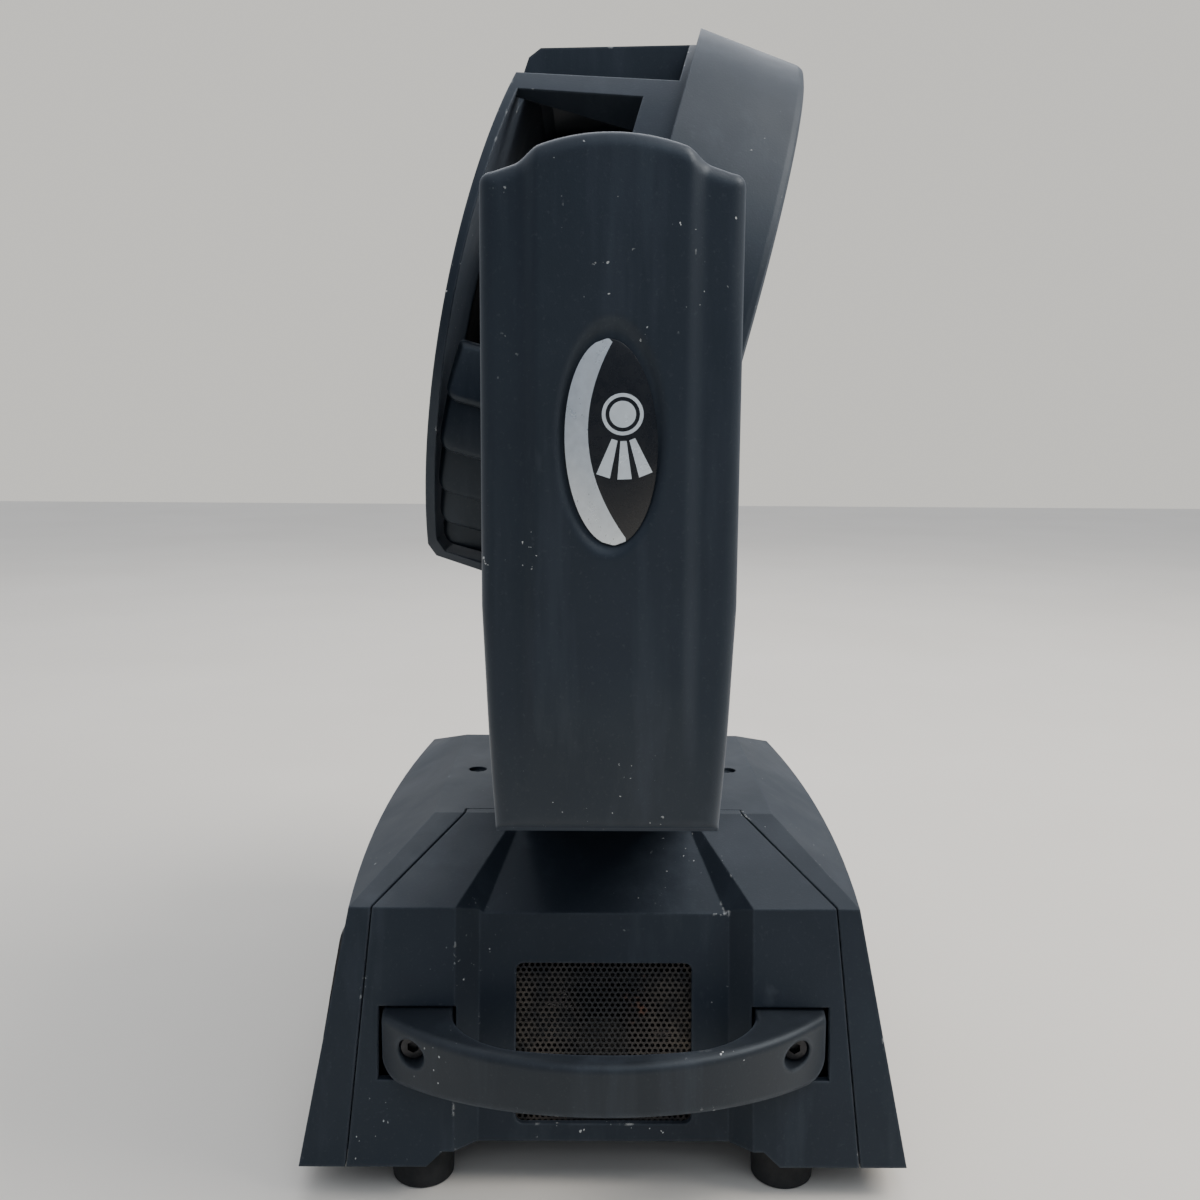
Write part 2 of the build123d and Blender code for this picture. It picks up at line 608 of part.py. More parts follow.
def make_rear_panel():
    width, height, middle = PANEL
    with BuildPart() as panel:
        with BuildSketch(REAR_PLANE.offset(-PLATE_T)):
            with Locations((0, middle)):
                RectangleRounded(width, height, 4)
            with Locations((INLET_X, middle)):
                Rectangle(27.6, 20.4, mode=Mode.SUBTRACT)
            with Locations((FUSE_X, middle)):
                Circle(6.2, mode=Mode.SUBTRACT)
            with Locations((DMX_IN_X, middle), (DMX_OUT_X, middle)):
                Circle(11.9, mode=Mode.SUBTRACT)
        extrude(amount=PLATE_T)
    save(panel, "rear_panel")


def make_power_inlet():
    """Three-pin appliance inlet with its shroud and blades."""
    with BuildPart() as inlet:
        with BuildSketch(REAR_PLANE):
            with Locations((INLET_X, PANEL[2])):
                RectangleRounded(40, 23, 3)
        extrude(amount=1)
        with BuildSketch(REAR_PLANE):
            with Locations((INLET_X, PANEL[2])):
                Rectangle(27, 20)
        extrude(amount=-19)
        with BuildSketch(REAR_PLANE.offset(1)):
            with Locations((INLET_X, PANEL[2])):
                RectangleRounded(23.6, 15.8, 2.5)
        extrude(amount=-17, mode=Mode.SUBTRACT)
        with BuildSketch(REAR_PLANE.offset(-16)):
            middle = PANEL[2]
            with Locations((INLET_X - 7, middle - 2), (INLET_X, middle + 2), (INLET_X + 7, middle - 2)):
                Rectangle(2, 4)
        extrude(amount=12)
    save(inlet, "power_inlet")


def make_fuse_holder():
    with BuildPart() as fuse:
        with BuildSketch(REAR_PLANE):
            with Locations((FUSE_X, PANEL[2])):
                Circle(8)
        extrude(amount=1.6)
        with BuildSketch(REAR_PLANE.offset(1.6)):
            with Locations((FUSE_X, PANEL[2])):
                Circle(6)
                Rectangle(9, 1.6, mode=Mode.SUBTRACT)
        extrude(amount=1.2)
        with BuildSketch(REAR_PLANE):
            with Locations((FUSE_X, PANEL[2])):
                Circle(6)
        extrude(amount=-24)
    save(fuse, "fuse_holder")


def make_dmx_socket(name, x, pins):
    """Three-pole data socket: pins in a cup, or a plug face with three holes."""
    contacts = [(x + 3.5 * cos(radians(a)), PANEL[2] + 3.5 * sin(radians(a))) for a in (150, 30, -90)]
    with BuildPart() as socket:
        with BuildSketch(REAR_PLANE):
            with Locations((x, PANEL[2])):
                RectangleRounded(26, 31, 3)
        extrude(amount=1.4)
        with BuildSketch(REAR_PLANE):
            with Locations((x, PANEL[2])):
                Circle(11.7)
        extrude(amount=-19)
        with BuildSketch(REAR_PLANE.offset(1.4)):
            with Locations((x, PANEL[2])):
                Circle(9.4)
        extrude(amount=-16, mode=Mode.SUBTRACT)
        with BuildSketch(REAR_PLANE.offset(-15)):
            if pins:
                with Locations(*contacts):
                    Circle(1.2)
            else:
                with Locations((x, PANEL[2])):
                    Circle(7)
                with Locations(*contacts):
                    Circle(1.3, mode=Mode.SUBTRACT)
        extrude(amount=12 if pins else 15)
    save(socket, name)


# --- yoke ---------------------------------------------------------------------------------
def yoke_front_outline(inset):
    """Front view of the yoke (X, Z): a U with leaning outer feet, shrunk by inset."""
    out_x, in_x = ARM_OUT - inset, ARM_IN + inset
    low, high = YOKE_BOTTOM + inset, YOKE_TOP - inset
    points = [(0, low), (70, low), (ARM_FOOT_X - inset, ARM_FOOT_Z + inset), (out_x, ARM_BEND_Z)]
    points += [(out_x, 400), (in_x, 400), (in_x, high), (0, high)]
    points += [(-x, z) for x, z in reversed(points[1:-1])]
    with BuildSketch() as outline:
        with BuildLine():
            Polyline(*points, close=True)
        make_face()
        crooks = outline.vertices().filter_by(
            lambda v: abs(abs(v.X) - in_x) < 0.1 and abs(v.Y - high) < 0.1)
        fillet(crooks, radius=20 - inset)
        toes = outline.vertices().filter_by(lambda v: abs(v.Y - ARM_FOOT_Z - inset) < 0.1)
        fillet(toes, radius=6 - inset)
    return outline.sketch


def arm_side_outline(inset):
    """Side view of an arm (Y, Z): straight sides, shoulders and a raised round crown."""
    half, low_half = ARM_HALF_Y - inset, ARM_LOW_HALF_Y - inset
    shoulder, crown = ARM_SHOULDER_Z - inset, ARM_TOP_Z - inset
    with BuildSketch() as outline:
        with BuildLine():
            for side in (-1, 1):
                Polyline((0, 120), (side * low_half, 120), (side * low_half, ARM_FOOT_Z),
                         (side * half, 230), (side * half, shoulder - 4))
                ThreePointArc((side * half, shoulder - 4), (side * (half - 1), shoulder - 1.4),
                              (side * (half - 3.6), shoulder))
                Line((side * (half - 3.6), shoulder), (side * 30, shoulder + 2))
                Spline((side * 30, shoulder + 2), (side * 26.4, shoulder + 4.4),
                       (side * 22, shoulder + 7.2), tangents=[(-side, 0.3), (-side, 0.42)])
            ThreePointArc((22, shoulder + 7.2), (0, crown), (-22, shoulder + 7.2))
        make_face()
    return outline.sketch


def arm_plan_outline(inset):
    """Plan of both arms (X, Y): the outer face has a raised middle band between two flats."""
    flat, band, half = ARM_OUT - 2.8 - inset, ARM_OUT - inset, ARM_HALF_Y - inset
    with BuildSketch() as outline:
        with BuildLine():
            for side in (-1, 1):
                for end in (-1, 1):
                    Line((0, end * half), (side * (flat - 6), end * half))
                    ThreePointArc((side * (flat - 6), end * half),
                                  (side * (flat - 1.76), end * (half - 1.76)),
                                  (side * flat, end * (half - 6)))
                    Line((side * flat, end * (half - 6)), (side * flat, end * 29.5))
                    Spline((side * flat, end * 29.5), (side * (flat + band) / 2, end * 26.2),
                           (side * band, end * 22), tangents=[(0, -end), (0, -end)])
                Line((side * band, -22), (side * band, 22))
        make_face()
    return outline.sketch


def yoke_form(inset):
    """The closed outer form of the yoke covers."""
    with BuildPart() as form:
        with BuildSketch(Plane.XZ.offset(-60)):
            add(yoke_front_outline(inset))
        extrude(amount=120)
        with BuildSketch(Plane.YZ.offset(-200)):
            add(arm_side_outline(inset))
        extrude(amount=400, mode=Mode.INTERSECT)
        with BuildSketch(Plane.XY.offset(100)):
            add(arm_plan_outline(inset))
        extrude(amount=300, mode=Mode.INTERSECT)
    return form.part


def make_yoke_covers():
    """Split the hollow yoke form into arm halves and the two crossbar mouldings."""
    with BuildPart() as skin:
        add(yoke_form(0))
        add(yoke_form(ARM_WALL), mode=Mode.SUBTRACT)
        with BuildSketch(Plane.XY.offset(YOKE_BOTTOM - 1)):
            Circle(34.5)
        extrude(amount=ARM_WALL + 3, mode=Mode.SUBTRACT)
        for side in (-1, 1):
            with BuildSketch(Plane.YZ.offset(side * (ARM_IN - 1))):
                with Locations((0, TILT_Z)):
                    Circle(17)
            extrude(amount=side * (ARM_WALL + 2), mode=Mode.SUBTRACT)
            with BuildSketch(Plane.YZ.offset(side * (ARM_OUT - BADGE_RECESS))):
                with Locations((0, BADGE_Z + 1.5)):
                    Ellipse(BADGE_RY + 1.6, BADGE_RZ + 3.4)
            extrude(amount=side * 3, mode=Mode.SUBTRACT)
    for side in (-1, 1):
        outer_mid = side * (ARM_SPLIT + 20.1)
        inner_mid = side * (ARM_SPLIT + CROSS_SPLIT_X) / 2
        with BuildPart() as outer:
            add(skin.part)
            with Locations((outer_mid, 0, 260)):
                Box(40, 120, 300, mode=Mode.INTERSECT)
        save(outer, side_name("arm_outer_cover", side))
        with BuildPart() as inner:
            add(skin.part)
            with Locations((inner_mid, 0, 260)):
                Box(ARM_SPLIT - CROSS_SPLIT_X - 0.2, 120, 300, mode=Mode.INTERSECT)
        save(inner, side_name("arm_inner_cover", side))
    halves = (("yoke_cover_top", CROSS_SPLIT_Z + 20.1), ("yoke_cover_bottom", CROSS_SPLIT_Z - 20.1))
    for name, middle in halves:
        with BuildPart() as cross:
            add(skin.part)
            with Locations((0, 0, middle)):
                Box(2 * CROSS_SPLIT_X - 0.2, 120, 40, mode=Mode.INTERSECT)
        save(cross, name)


def make_badges():
    """Oval domed badges in the recesses of the two outer arm covers."""
    with BuildPart() as badges:
        for side in (-1, 1):
            with BuildSketch(Plane.YZ.offset(side * (ARM_OUT - BADGE_RECESS))):
                with Locations((0, BADGE_Z)):
                    Ellipse(BADGE_RY, BADGE_RZ)
            extrude(amount=side * (BADGE_RECESS - 0.1))
        for rim in (badges.faces().sort_by(Axis.X)[0], badges.faces().sort_by(Axis.X)[-1]):
            fillet(rim.edges(), radius=0.8)
    save(badges, "arm_badges")


def make_yoke_frame():
    """Bent steel U inside the covers: it carries the pan shaft and both tilt bearings."""
    low = FRAME_FLOOR_Z
    knee, foot_z, top = 70.0, 157.5, 346.0
    out_x = FRAME_X + FRAME_T
    with BuildPart() as frame:
        with BuildSketch(Plane.XZ.offset(-28)):
            with BuildLine():
                Polyline((-out_x, top), (-out_x, foot_z), (-knee, low), (knee, low), (out_x, foot_z),
                         (out_x, top),
                         (FRAME_X, top), (FRAME_X, foot_z + 2.4), (knee - 0.4, low + FRAME_T),
                         (0.4 - knee, low + FRAME_T), (-FRAME_X, foot_z + 2.4), (-FRAME_X, top), close=True)
            make_face()
        extrude(amount=56)
        corners = frame.edges().filter_by(Axis.X).group_by(Axis.Z)[-1]
        fillet(corners, radius=20)
        with BuildSketch(Plane.XY.offset(low - 1)):
            Circle(SHAFT_BORE)
        extrude(amount=6, mode=Mode.SUBTRACT)
        for side in (-1, 1):
            with BuildSketch(Plane.YZ.offset(side * (FRAME_X - 1))):
                with Locations((0, TILT_Z)):
                    Circle(TRUNNION_R + 1.5)
                with Locations((0, 190)):
                    Circle(9)
            extrude(amount=side * 6, mode=Mode.SUBTRACT)
        with BuildSketch(Plane.YZ.offset(FRAME_X - 1)):
            with Locations((0, TILT_Z - TILT_CENTRES)):
                Circle(11.2)
            with Locations((0, 270)):
                RectangleRounded(24, 40, 8)
        extrude(amount=6, mode=Mode.SUBTRACT)
    save(frame, "yoke_frame")


def make_tilt_bearing(side):
    """Flanged bearing bolted to the outside of the yoke frame."""
    face = side * (FRAME_X + FRAME_T)
    with BuildPart() as bearing:
        with BuildSketch(Plane.YZ.offset(face)):
            with Locations((0, TILT_Z)):
                Circle(24)
                Circle(TRUNNION_R + RUN_GAP, mode=Mode.SUBTRACT)
        extrude(amount=side * 3)
        with BuildSketch(Plane.YZ.offset(face + side * 3)):
            with Locations((0, TILT_Z)):
                Circle(17)
                Circle(TRUNNION_R + RUN_GAP, mode=Mode.SUBTRACT)
        extrude(amount=side * 5)
    save(bearing, side_name("tilt_bearing", side))


def make_tilt_drive():
    wheel = Plane((FRAME_X - 9, 0, TILT_Z), x_dir=(0, 0, -1), z_dir=(1, 0, 0))
    pinion = Plane((FRAME_X - 9, 0, TILT_Z - TILT_CENTRES), x_dir=(0, 0, -1), z_dir=(1, 0, 0))
    save(toothed_wheel(TILT_PULLEY_R, 7, TRUNNION_R + 0.02, 76, wheel, False), "tilt_pulley")
    save(toothed_wheel(PINION_R, 7, 2.5 + RUN_GAP, 20, pinion, True), "tilt_pinion")
    make_belt("tilt_belt", wheel.offset(0.5), TILT_PULLEY_R, PINION_R, TILT_CENTRES, 6)
    seat = Plane((FRAME_X + FRAME_T, 0, TILT_Z - TILT_CENTRES), x_dir=(0, 1, 0), z_dir=(-1, 0, 0))
    make_motor("tilt_motor", seat, 21, 13)


# --- head ---------------------------------------------------------------------------------
def make_head_ring():
    """Front ring of the head, with a lip in front and a notch round each trunnion."""
    slope = (RING_REAR_R - RING_FRONT_R) / (RING_FRONT - RING_REAR)
    with BuildPart() as ring:
        with BuildSketch(HEAD_SIDE):
            with BuildLine():
                Polyline((RING_REAR, RING_REAR_R), (RING_FRONT - 3, RING_FRONT_R + 3 * slope),
                         (RING_FRONT - 0.9, RING_FRONT_R - 0.7), (RING_FRONT, RING_FRONT_R - 2.8),
                         (RING_FRONT, LIP_R), (RING_FRONT - 3, LIP_R),
                         (RING_FRONT - 3, RING_FRONT_R - RING_WALL), (RING_REAR, RING_REAR_R - RING_WALL),
                         close=True)
            make_face()
        revolve(axis=BEAM_AXIS)
        with BuildSketch(Plane.YZ.offset(-150)):
            with Locations((0, TILT_Z)):
                Circle(TRUNNION_R + 3)
        extrude(amount=300, mode=Mode.SUBTRACT)
    save(ring, "head_ring")


def make_lens_plate():
    with BuildPart() as plate:
        with BuildSketch(HEAD.offset(RING_FRONT - 5.5)):
            Circle(RING_FRONT_R - RING_WALL - 0.6)
            for radius, count in LENS_RINGS:
                with PolarLocations(radius, count):
                    Circle(LENS_R + 0.3, mode=Mode.SUBTRACT)
        extrude(amount=2.5)
    save(plate, "lens_plate")


def make_lenses():
    """Collimating lenses: a cone from the emitter up to a domed disc in the front plate."""
    with BuildPart() as lenses:
        for radius, count in LENS_RINGS:
            with PolarLocations(radius, count) as spots:
                places = [HEAD.offset(BOARD_FRONT + 1.5) * spot for spot in spots.locations]
            with Locations(*places):
                Cone(7, LENS_R, 9, align=(Align.CENTER, Align.CENTER, Align.MIN))
            with Locations(*[place * Pos(0, 0, 9) for place in places]):
                Cylinder(LENS_R, 4, align=(Align.CENTER, Align.CENTER, Align.MIN))
    save(lenses, "lenses")


def make_led_board():
    with BuildPart() as board:
        with BuildSketch(HEAD.offset(BOARD_FRONT - 1.6)):
            Circle(116)
        extrude(amount=1.6)
        with BuildSketch(HEAD.offset(BOARD_FRONT)):
            for radius, count in LENS_RINGS:
                with PolarLocations(radius, count):
                    Rectangle(7, 7)
        extrude(amount=1.1)
    save(board, "led_board")


def make_heatsink():
    """Aluminium disc with radial fins on its rear face."""
    with BuildPart() as sink:
        with BuildSketch(HEAD.offset(22)):
            Circle(116)
        extrude(amount=BOARD_FRONT - 1.6 - 22)
        with BuildSketch(HEAD):
            with PolarLocations(0, FIN_COUNT):
                with Locations((76, 0)):
                    Rectangle(72, 2.2)
        extrude(amount=22)
    save(sink, "heatsink")


def make_head_frame():
    """Steel ring plate behind the heatsink, with an upright tab for each trunnion."""
    with BuildPart() as frame:
        with BuildSketch(HEAD.offset(-3)):
            Circle(119)
            Rectangle(240, 218, mode=Mode.INTERSECT)
            Circle(56, mode=Mode.SUBTRACT)
            with PolarLocations(90, 8, start_angle=22.5):
                Circle(14, mode=Mode.SUBTRACT)
        extrude(amount=3)
        for side in (-1, 1):
            with BuildSketch(HEAD.offset(-20.4)):
                with Locations((side * 117, 0)):
                    Rectangle(4, 48)
            extrude(amount=38)
    save(frame, "head_frame")


def make_trunnion(side):
    """Hollow tilt shaft with the flange that bolts to the head frame."""
    start = side * 119
    with BuildPart() as trunnion:
        with BuildSketch(Plane.YZ.offset(start)):
            with Locations((0, TILT_Z)):
                Circle(20)
        extrude(amount=side * 3)
        with BuildSketch(Plane.YZ.offset(start)):
            with Locations((0, TILT_Z)):
                Circle(TRUNNION_R)
        extrude(amount=side * (FRAME_X + 14 - 119))
        with BuildSketch(Plane.YZ.offset(start - side)):
            with Locations((0, TILT_Z)):
                Circle(8.5)
        extrude(amount=side * 60, mode=Mode.SUBTRACT)
    save(trunnion, side_name("trunnion", side))


def drum_profile(inset):
    """Side view of the rear shell (forward, up): domed back, flat top facet, flat bottom."""
    back = -60.5 + inset
    step = -9.0 + inset
    bottom = -98.0 + inset
    with BuildSketch() as profile:
        with BuildLine():
            Polyline((3 + inset, 119 - inset), (back + 5.5, 101.5 - inset), (back + 2, 97 - inset))
            ThreePointArc((back + 2, 97 - inset), (back, 24), (back + 13, bottom + 4))
            Polyline((back + 13, bottom + 4), (back + 17, bottom), (step, bottom), (step, -150),
                     (3 + inset, -150), (3 + inset, 119 - inset))
        make_face()
    return profile.sketch


def drum_form(inset):
    """Conical drum cut by the side profile."""
    with BuildPart() as drum:
        with BuildSketch(HEAD_SIDE):
            with BuildLine():
                rear, front = -62.0, 3.0 + inset
                Polyline((rear, 0), (rear, DRUM_R - inset + DRUM_TAPER * (rear - 3)),
                         (front, DRUM_R - inset + DRUM_TAPER * (front - 3)), (front, 0), close=True)
            make_face()
        revolve(axis=BEAM_AXIS)
        with BuildSketch(HEAD_SIDE.offset(-160)):
            add(drum_profile(inset))
        extrude(amount=320, mode=Mode.INTERSECT)
    return drum.part


def sector(start, end, radius):
    """Pie slice in the current sketch, angles in degrees from up, positive towards -X."""
    points = [(0, 0)]
    for angle in (start, (start + end) / 2, end):
        points.append((-radius * sin(radians(angle)), radius * cos(radians(angle))))
    Polygon(*points, align=None)


def side_windows():
    """Cutter for the side windows: it stops short of the rim and the flat bottom."""
    with BuildPart() as cutter:
        with BuildSketch(HEAD.offset(-70)):
            sector(*SIDE_WINDOW, 170)
            Circle(96, mode=Mode.SUBTRACT)
        extrude(amount=70 + WINDOW_FRONT)
        mirror(about=Plane.YZ)
        with BuildSketch(HEAD_SIDE.offset(-160)):
            add(drum_profile(DRUM_RIM))
        extrude(amount=320, mode=Mode.INTERSECT)
    return cutter.part


def spine_ribs():
    """Deep ribs either side of the two top slots, trimmed to the drum."""
    with BuildPart() as ribs:
        with BuildSketch(HEAD.offset(-62)):
            sector(*RIB, 170)
            Circle(117, mode=Mode.SUBTRACT)
            with Locations((-SPINE_X + 1.5, 115)):
                Rectangle(3, 60)
        extrude(amount=62 + WINDOW_FRONT)
        # in front of the windows they stay clear of the head frame
        with BuildSketch(HEAD.offset(WINDOW_FRONT)):
            sector(*RIB, 170)
            with Locations((-SPINE_X + 1.5, 115)):
                Rectangle(3, 60)
            Circle(RIB_CLEAR_R, mode=Mode.SUBTRACT)
        extrude(amount=SLOT_FRONT - WINDOW_FRONT)
        mirror(about=Plane.YZ)
        add(drum_form(0), mode=Mode.INTERSECT)
    return ribs.part


def make_rear_shell():
    with BuildPart() as shell:
        add(drum_form(0))
        add(drum_form(DRUM_WALL), mode=Mode.SUBTRACT)
        add(side_windows(), mode=Mode.SUBTRACT)
        # open slot between the flat top and the rib above each side window
        slope = sin(radians(RIB[0])) / cos(radians(RIB[0]))
        with BuildSketch(HEAD.offset(-70)):
            Polygon((-SPINE_X, SPINE_X / slope), (-SPINE_X, 150), (-150 * slope, 150), align=None)
            Circle(104, mode=Mode.SUBTRACT)
        extrude(amount=70 + SLOT_FRONT, mode=Mode.SUBTRACT)
        with BuildSketch(HEAD.offset(-70)):
            Polygon((SPINE_X, SPINE_X / slope), (SPINE_X, 150), (150 * slope, 150), align=None)
            Circle(104, mode=Mode.SUBTRACT)
        extrude(amount=70 + SLOT_FRONT, mode=Mode.SUBTRACT)
        add(spine_ribs())
        # air slots in the domed back, behind the fan
        with BuildSketch(HEAD.offset(-70)):
            for row in range(-3, 4):
                width = 2 * (54 ** 2 - (row * 13.0) ** 2) ** 0.5
                with Locations((0, row * 13.0)):
                    SlotOverall(width, 4)
        extrude(amount=30, mode=Mode.SUBTRACT)
        # clearance round the trunnions
        with BuildSketch(Plane.YZ.offset(-150)):
            with Locations((0, TILT_Z)):
                Circle(22)
        extrude(amount=300, mode=Mode.SUBTRACT)
    save(shell, "rear_shell")


def make_side_louvres():
    """Overlapping blades low in the two side windows, held by a rail at each end."""
    with BuildPart() as louvres:
        with BuildSketch(HEAD.offset(LOUVRE_BACK)):
            for index in range(LOUVRE_COUNT):
                high = LOUVRE_START + index * LOUVRE_PITCH
                low = high + LOUVRE_PITCH
                corners = [(113.5, high), (118.5, low), (116.3, low), (111.5, high)]
                points = [(-r * sin(radians(a)), r * cos(radians(a))) for r, a in corners]
                Polygon(*points, align=None)
        extrude(amount=LOUVRE_LONG)
        for level in (LOUVRE_BACK, LOUVRE_BACK + LOUVRE_LONG - 3):
            with BuildSketch(HEAD.offset(level)):
                sector(LOUVRE_START, LOUVRE_START + LOUVRE_COUNT * LOUVRE_PITCH, 170)
                Circle(113.5, mode=Mode.INTERSECT)
                Circle(109.5, mode=Mode.SUBTRACT)
            extrude(amount=3)
        mirror(about=Plane.YZ)
    save(louvres, "side_louvres")


# --- build --------------------------------------------------------------------------------
def main():
    envelope = base_envelope(0)
    hollow = base_envelope(WALL)
    make_base_shell(envelope, hollow)
    for side in (-1, 1):
        make_side_cover(side, envelope, hollow)
        make_side_grille(side)
        make_handle(side)
        make_tilt_bearing(side)
        make_trunnion(side)
    make_handle_screws()
    make_chassis_tray()
    make_feet()
    make_pan_bridge()
    make_pan_bearing()
    make_pan_shaft()
    make_pan_drive()
    fan_plane = Plane((-FLANGE_X + TRAY_T + 15, 0, FAN_Z), x_dir=(0, 1, 0), z_dir=(-1, 0, 0))
    make_fan("base_fan", fan_plane, 60, 15, 7)
    make_power_supply()
    make_control_board()
    make_display()
    make_rear_panel()
    make_power_inlet()
    make_fuse_holder()
    make_dmx_socket("dmx_in_socket", DMX_IN_X, True)
    make_dmx_socket("dmx_out_socket", DMX_OUT_X, False)
    make_yoke_covers()
    make_badges()
    make_yoke_frame()
    make_tilt_drive()
    make_head_ring()
    make_lens_plate()
    make_lenses()
    make_led_board()
    make_heatsink()
    make_head_frame()
    make_fan("head_fan", HEAD.offset(-28), 119, 25, 9)
    make_rear_shell()
    make_side_louvres()


if __name__ == "__main__":
    main()
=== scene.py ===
import json
from math import cos, hypot, pi, radians, sin, sqrt

import bmesh
import bpy
import numpy as np
from mathutils import Matrix, Vector


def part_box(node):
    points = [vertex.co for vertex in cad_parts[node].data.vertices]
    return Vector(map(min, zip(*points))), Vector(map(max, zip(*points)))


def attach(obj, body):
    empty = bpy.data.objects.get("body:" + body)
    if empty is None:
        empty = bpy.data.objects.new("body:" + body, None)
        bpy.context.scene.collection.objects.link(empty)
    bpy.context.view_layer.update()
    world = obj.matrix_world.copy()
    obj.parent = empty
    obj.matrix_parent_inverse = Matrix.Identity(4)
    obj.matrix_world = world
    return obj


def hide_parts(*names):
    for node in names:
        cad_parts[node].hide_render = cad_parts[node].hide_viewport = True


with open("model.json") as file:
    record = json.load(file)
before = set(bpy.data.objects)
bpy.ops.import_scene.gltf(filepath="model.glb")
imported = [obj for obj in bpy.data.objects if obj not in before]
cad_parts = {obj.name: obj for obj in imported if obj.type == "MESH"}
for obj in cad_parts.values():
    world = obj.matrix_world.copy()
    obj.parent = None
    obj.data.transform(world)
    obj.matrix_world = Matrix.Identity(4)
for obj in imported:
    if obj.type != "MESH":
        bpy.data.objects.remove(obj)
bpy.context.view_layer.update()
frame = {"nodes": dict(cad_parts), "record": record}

NODES = frame["nodes"]

# --- camera, lights and floor ---------------------------------------------------------------
CAMERA_AT = Vector((-0.5529, 0.0054, 0.2852))
CAMERA_PITCH, CAMERA_YAW, CAMERA_ROLL = radians(8.11), radians(-0.38), radians(0.4)
SENSOR_MM, LENS_MM = 36.0, 36.0
LIGHT_AIM = Vector((0, 0, 0.22))
ROOM_SEEN = (0.80, 0.78, 0.73)
ROOM_NEAR, ROOM_FAR, ROOM_ABOVE = (0.095, 0.145, 0.23), (0.50, 0.51, 0.51), (0.80, 0.84, 0.92)
ROOM_DEPTH, ROOM_HEIGHT = (-0.6, 0.7), (0.0, 0.9)
FLOOR_HALF, FLOOR_DARK, FLOOR_LIGHT = 4.0, (0.79, 0.74, 0.66), (0.83, 0.78, 0.70)


def make_camera():
    data = bpy.data.cameras.new("camera")
    data.sensor_width = SENSOR_MM
    data.lens = LENS_MM
    data.clip_start = 0.01
    camera = bpy.data.objects.new("camera", data)
    bpy.context.scene.collection.objects.link(camera)
    level = cos(CAMERA_PITCH)
    forward = Vector((level * cos(CAMERA_YAW), level * sin(CAMERA_YAW), -sin(CAMERA_PITCH)))
    right = forward.cross(Vector((0, 0, 1))).normalized()
    up = right.cross(forward)
    tilted_right = cos(CAMERA_ROLL) * right + sin(CAMERA_ROLL) * up
    tilted_up = cos(CAMERA_ROLL) * up - sin(CAMERA_ROLL) * right
    turn = Matrix((tilted_right, tilted_up, -forward)).transposed()
    camera.matrix_world = Matrix.Translation(CAMERA_AT) @ turn.to_4x4()
    bpy.context.scene.camera = camera


def area_light(name, at, size, power, color):
    data = bpy.data.lights.new(name, "AREA")
    data.shape = "RECTANGLE"
    data.size, data.size_y = size
    data.energy = power
    data.color = color
    light = bpy.data.objects.new(name, data)
    bpy.context.scene.collection.objects.link(light)
    light.location = at
    light.rotation_euler = (LIGHT_AIM - Vector(at)).to_track_quat("-Z", "Y").to_euler()


def make_lights():
    area_light("key_light", (-0.2, -1.3, 1.7), (1.2, 1.2), 34, (1.0, 0.96, 0.91))
    area_light("fill_light", (-1.1, -0.3, 1.3), (0.8, 0.8), 3.0, (0.80, 0.90, 1.0))
    area_light("back_light", (1.4, 0.1, 1.6), (1.4, 1.0), 12, (0.95, 0.97, 1.0))
    make_world()


def room_blend(tree, source, limits, low, high):
    """Colour that goes from low to high while source goes from limits[0] to limits[1]."""
    share = tree.nodes.new("ShaderNodeMapRange")
    share.inputs["From Min"].default_value, share.inputs["From Max"].default_value = limits
    tree.links.new(source, share.inputs["Value"])
    blend = tree.nodes.new("ShaderNodeMix")
    blend.data_type = "RGBA"
    tree.links.new(share.outputs["Result"], blend.inputs[0])
    for socket, color in ((blend.inputs[6], low), (blend.inputs[7], high)):
        if isinstance(color, tuple):
            socket.default_value = (*color, 1)
        else:
            tree.links.new(color, socket)
    return blend.outputs[2]


def make_world():
    """Pale room to the eye; as a light source it is brightest overhead and dim behind the camera."""
    world = bpy.data.worlds.new("pale_room")
    bpy.context.scene.world = world
    world.use_nodes = True
    tree = world.node_tree
    seen = tree.nodes["Background"]
    seen.inputs["Color"].default_value = (*ROOM_SEEN, 1)
    room = tree.nodes.new("ShaderNodeBackground")
    place = tree.nodes.new("ShaderNodeTexCoord")
    split = tree.nodes.new("ShaderNodeSeparateXYZ")
    tree.links.new(place.outputs["Generated"], split.inputs["Vector"])
    level = room_blend(tree, split.outputs["X"], ROOM_DEPTH, ROOM_NEAR, ROOM_FAR)
    dome = room_blend(tree, split.outputs["Z"], ROOM_HEIGHT, level, ROOM_ABOVE)
    tree.links.new(dome, room.inputs["Color"])
    path = tree.nodes.new("ShaderNodeLightPath")
    choose = tree.nodes.new("ShaderNodeMixShader")
    tree.links.new(path.outputs["Is Camera Ray"], choose.inputs["Fac"])
    tree.links.new(room.outputs["Background"], choose.inputs[1])
    tree.links.new(seen.outputs["Background"], choose.inputs[2])
    tree.links.new(choose.outputs["Shader"], tree.nodes["World Output"].inputs["Surface"])


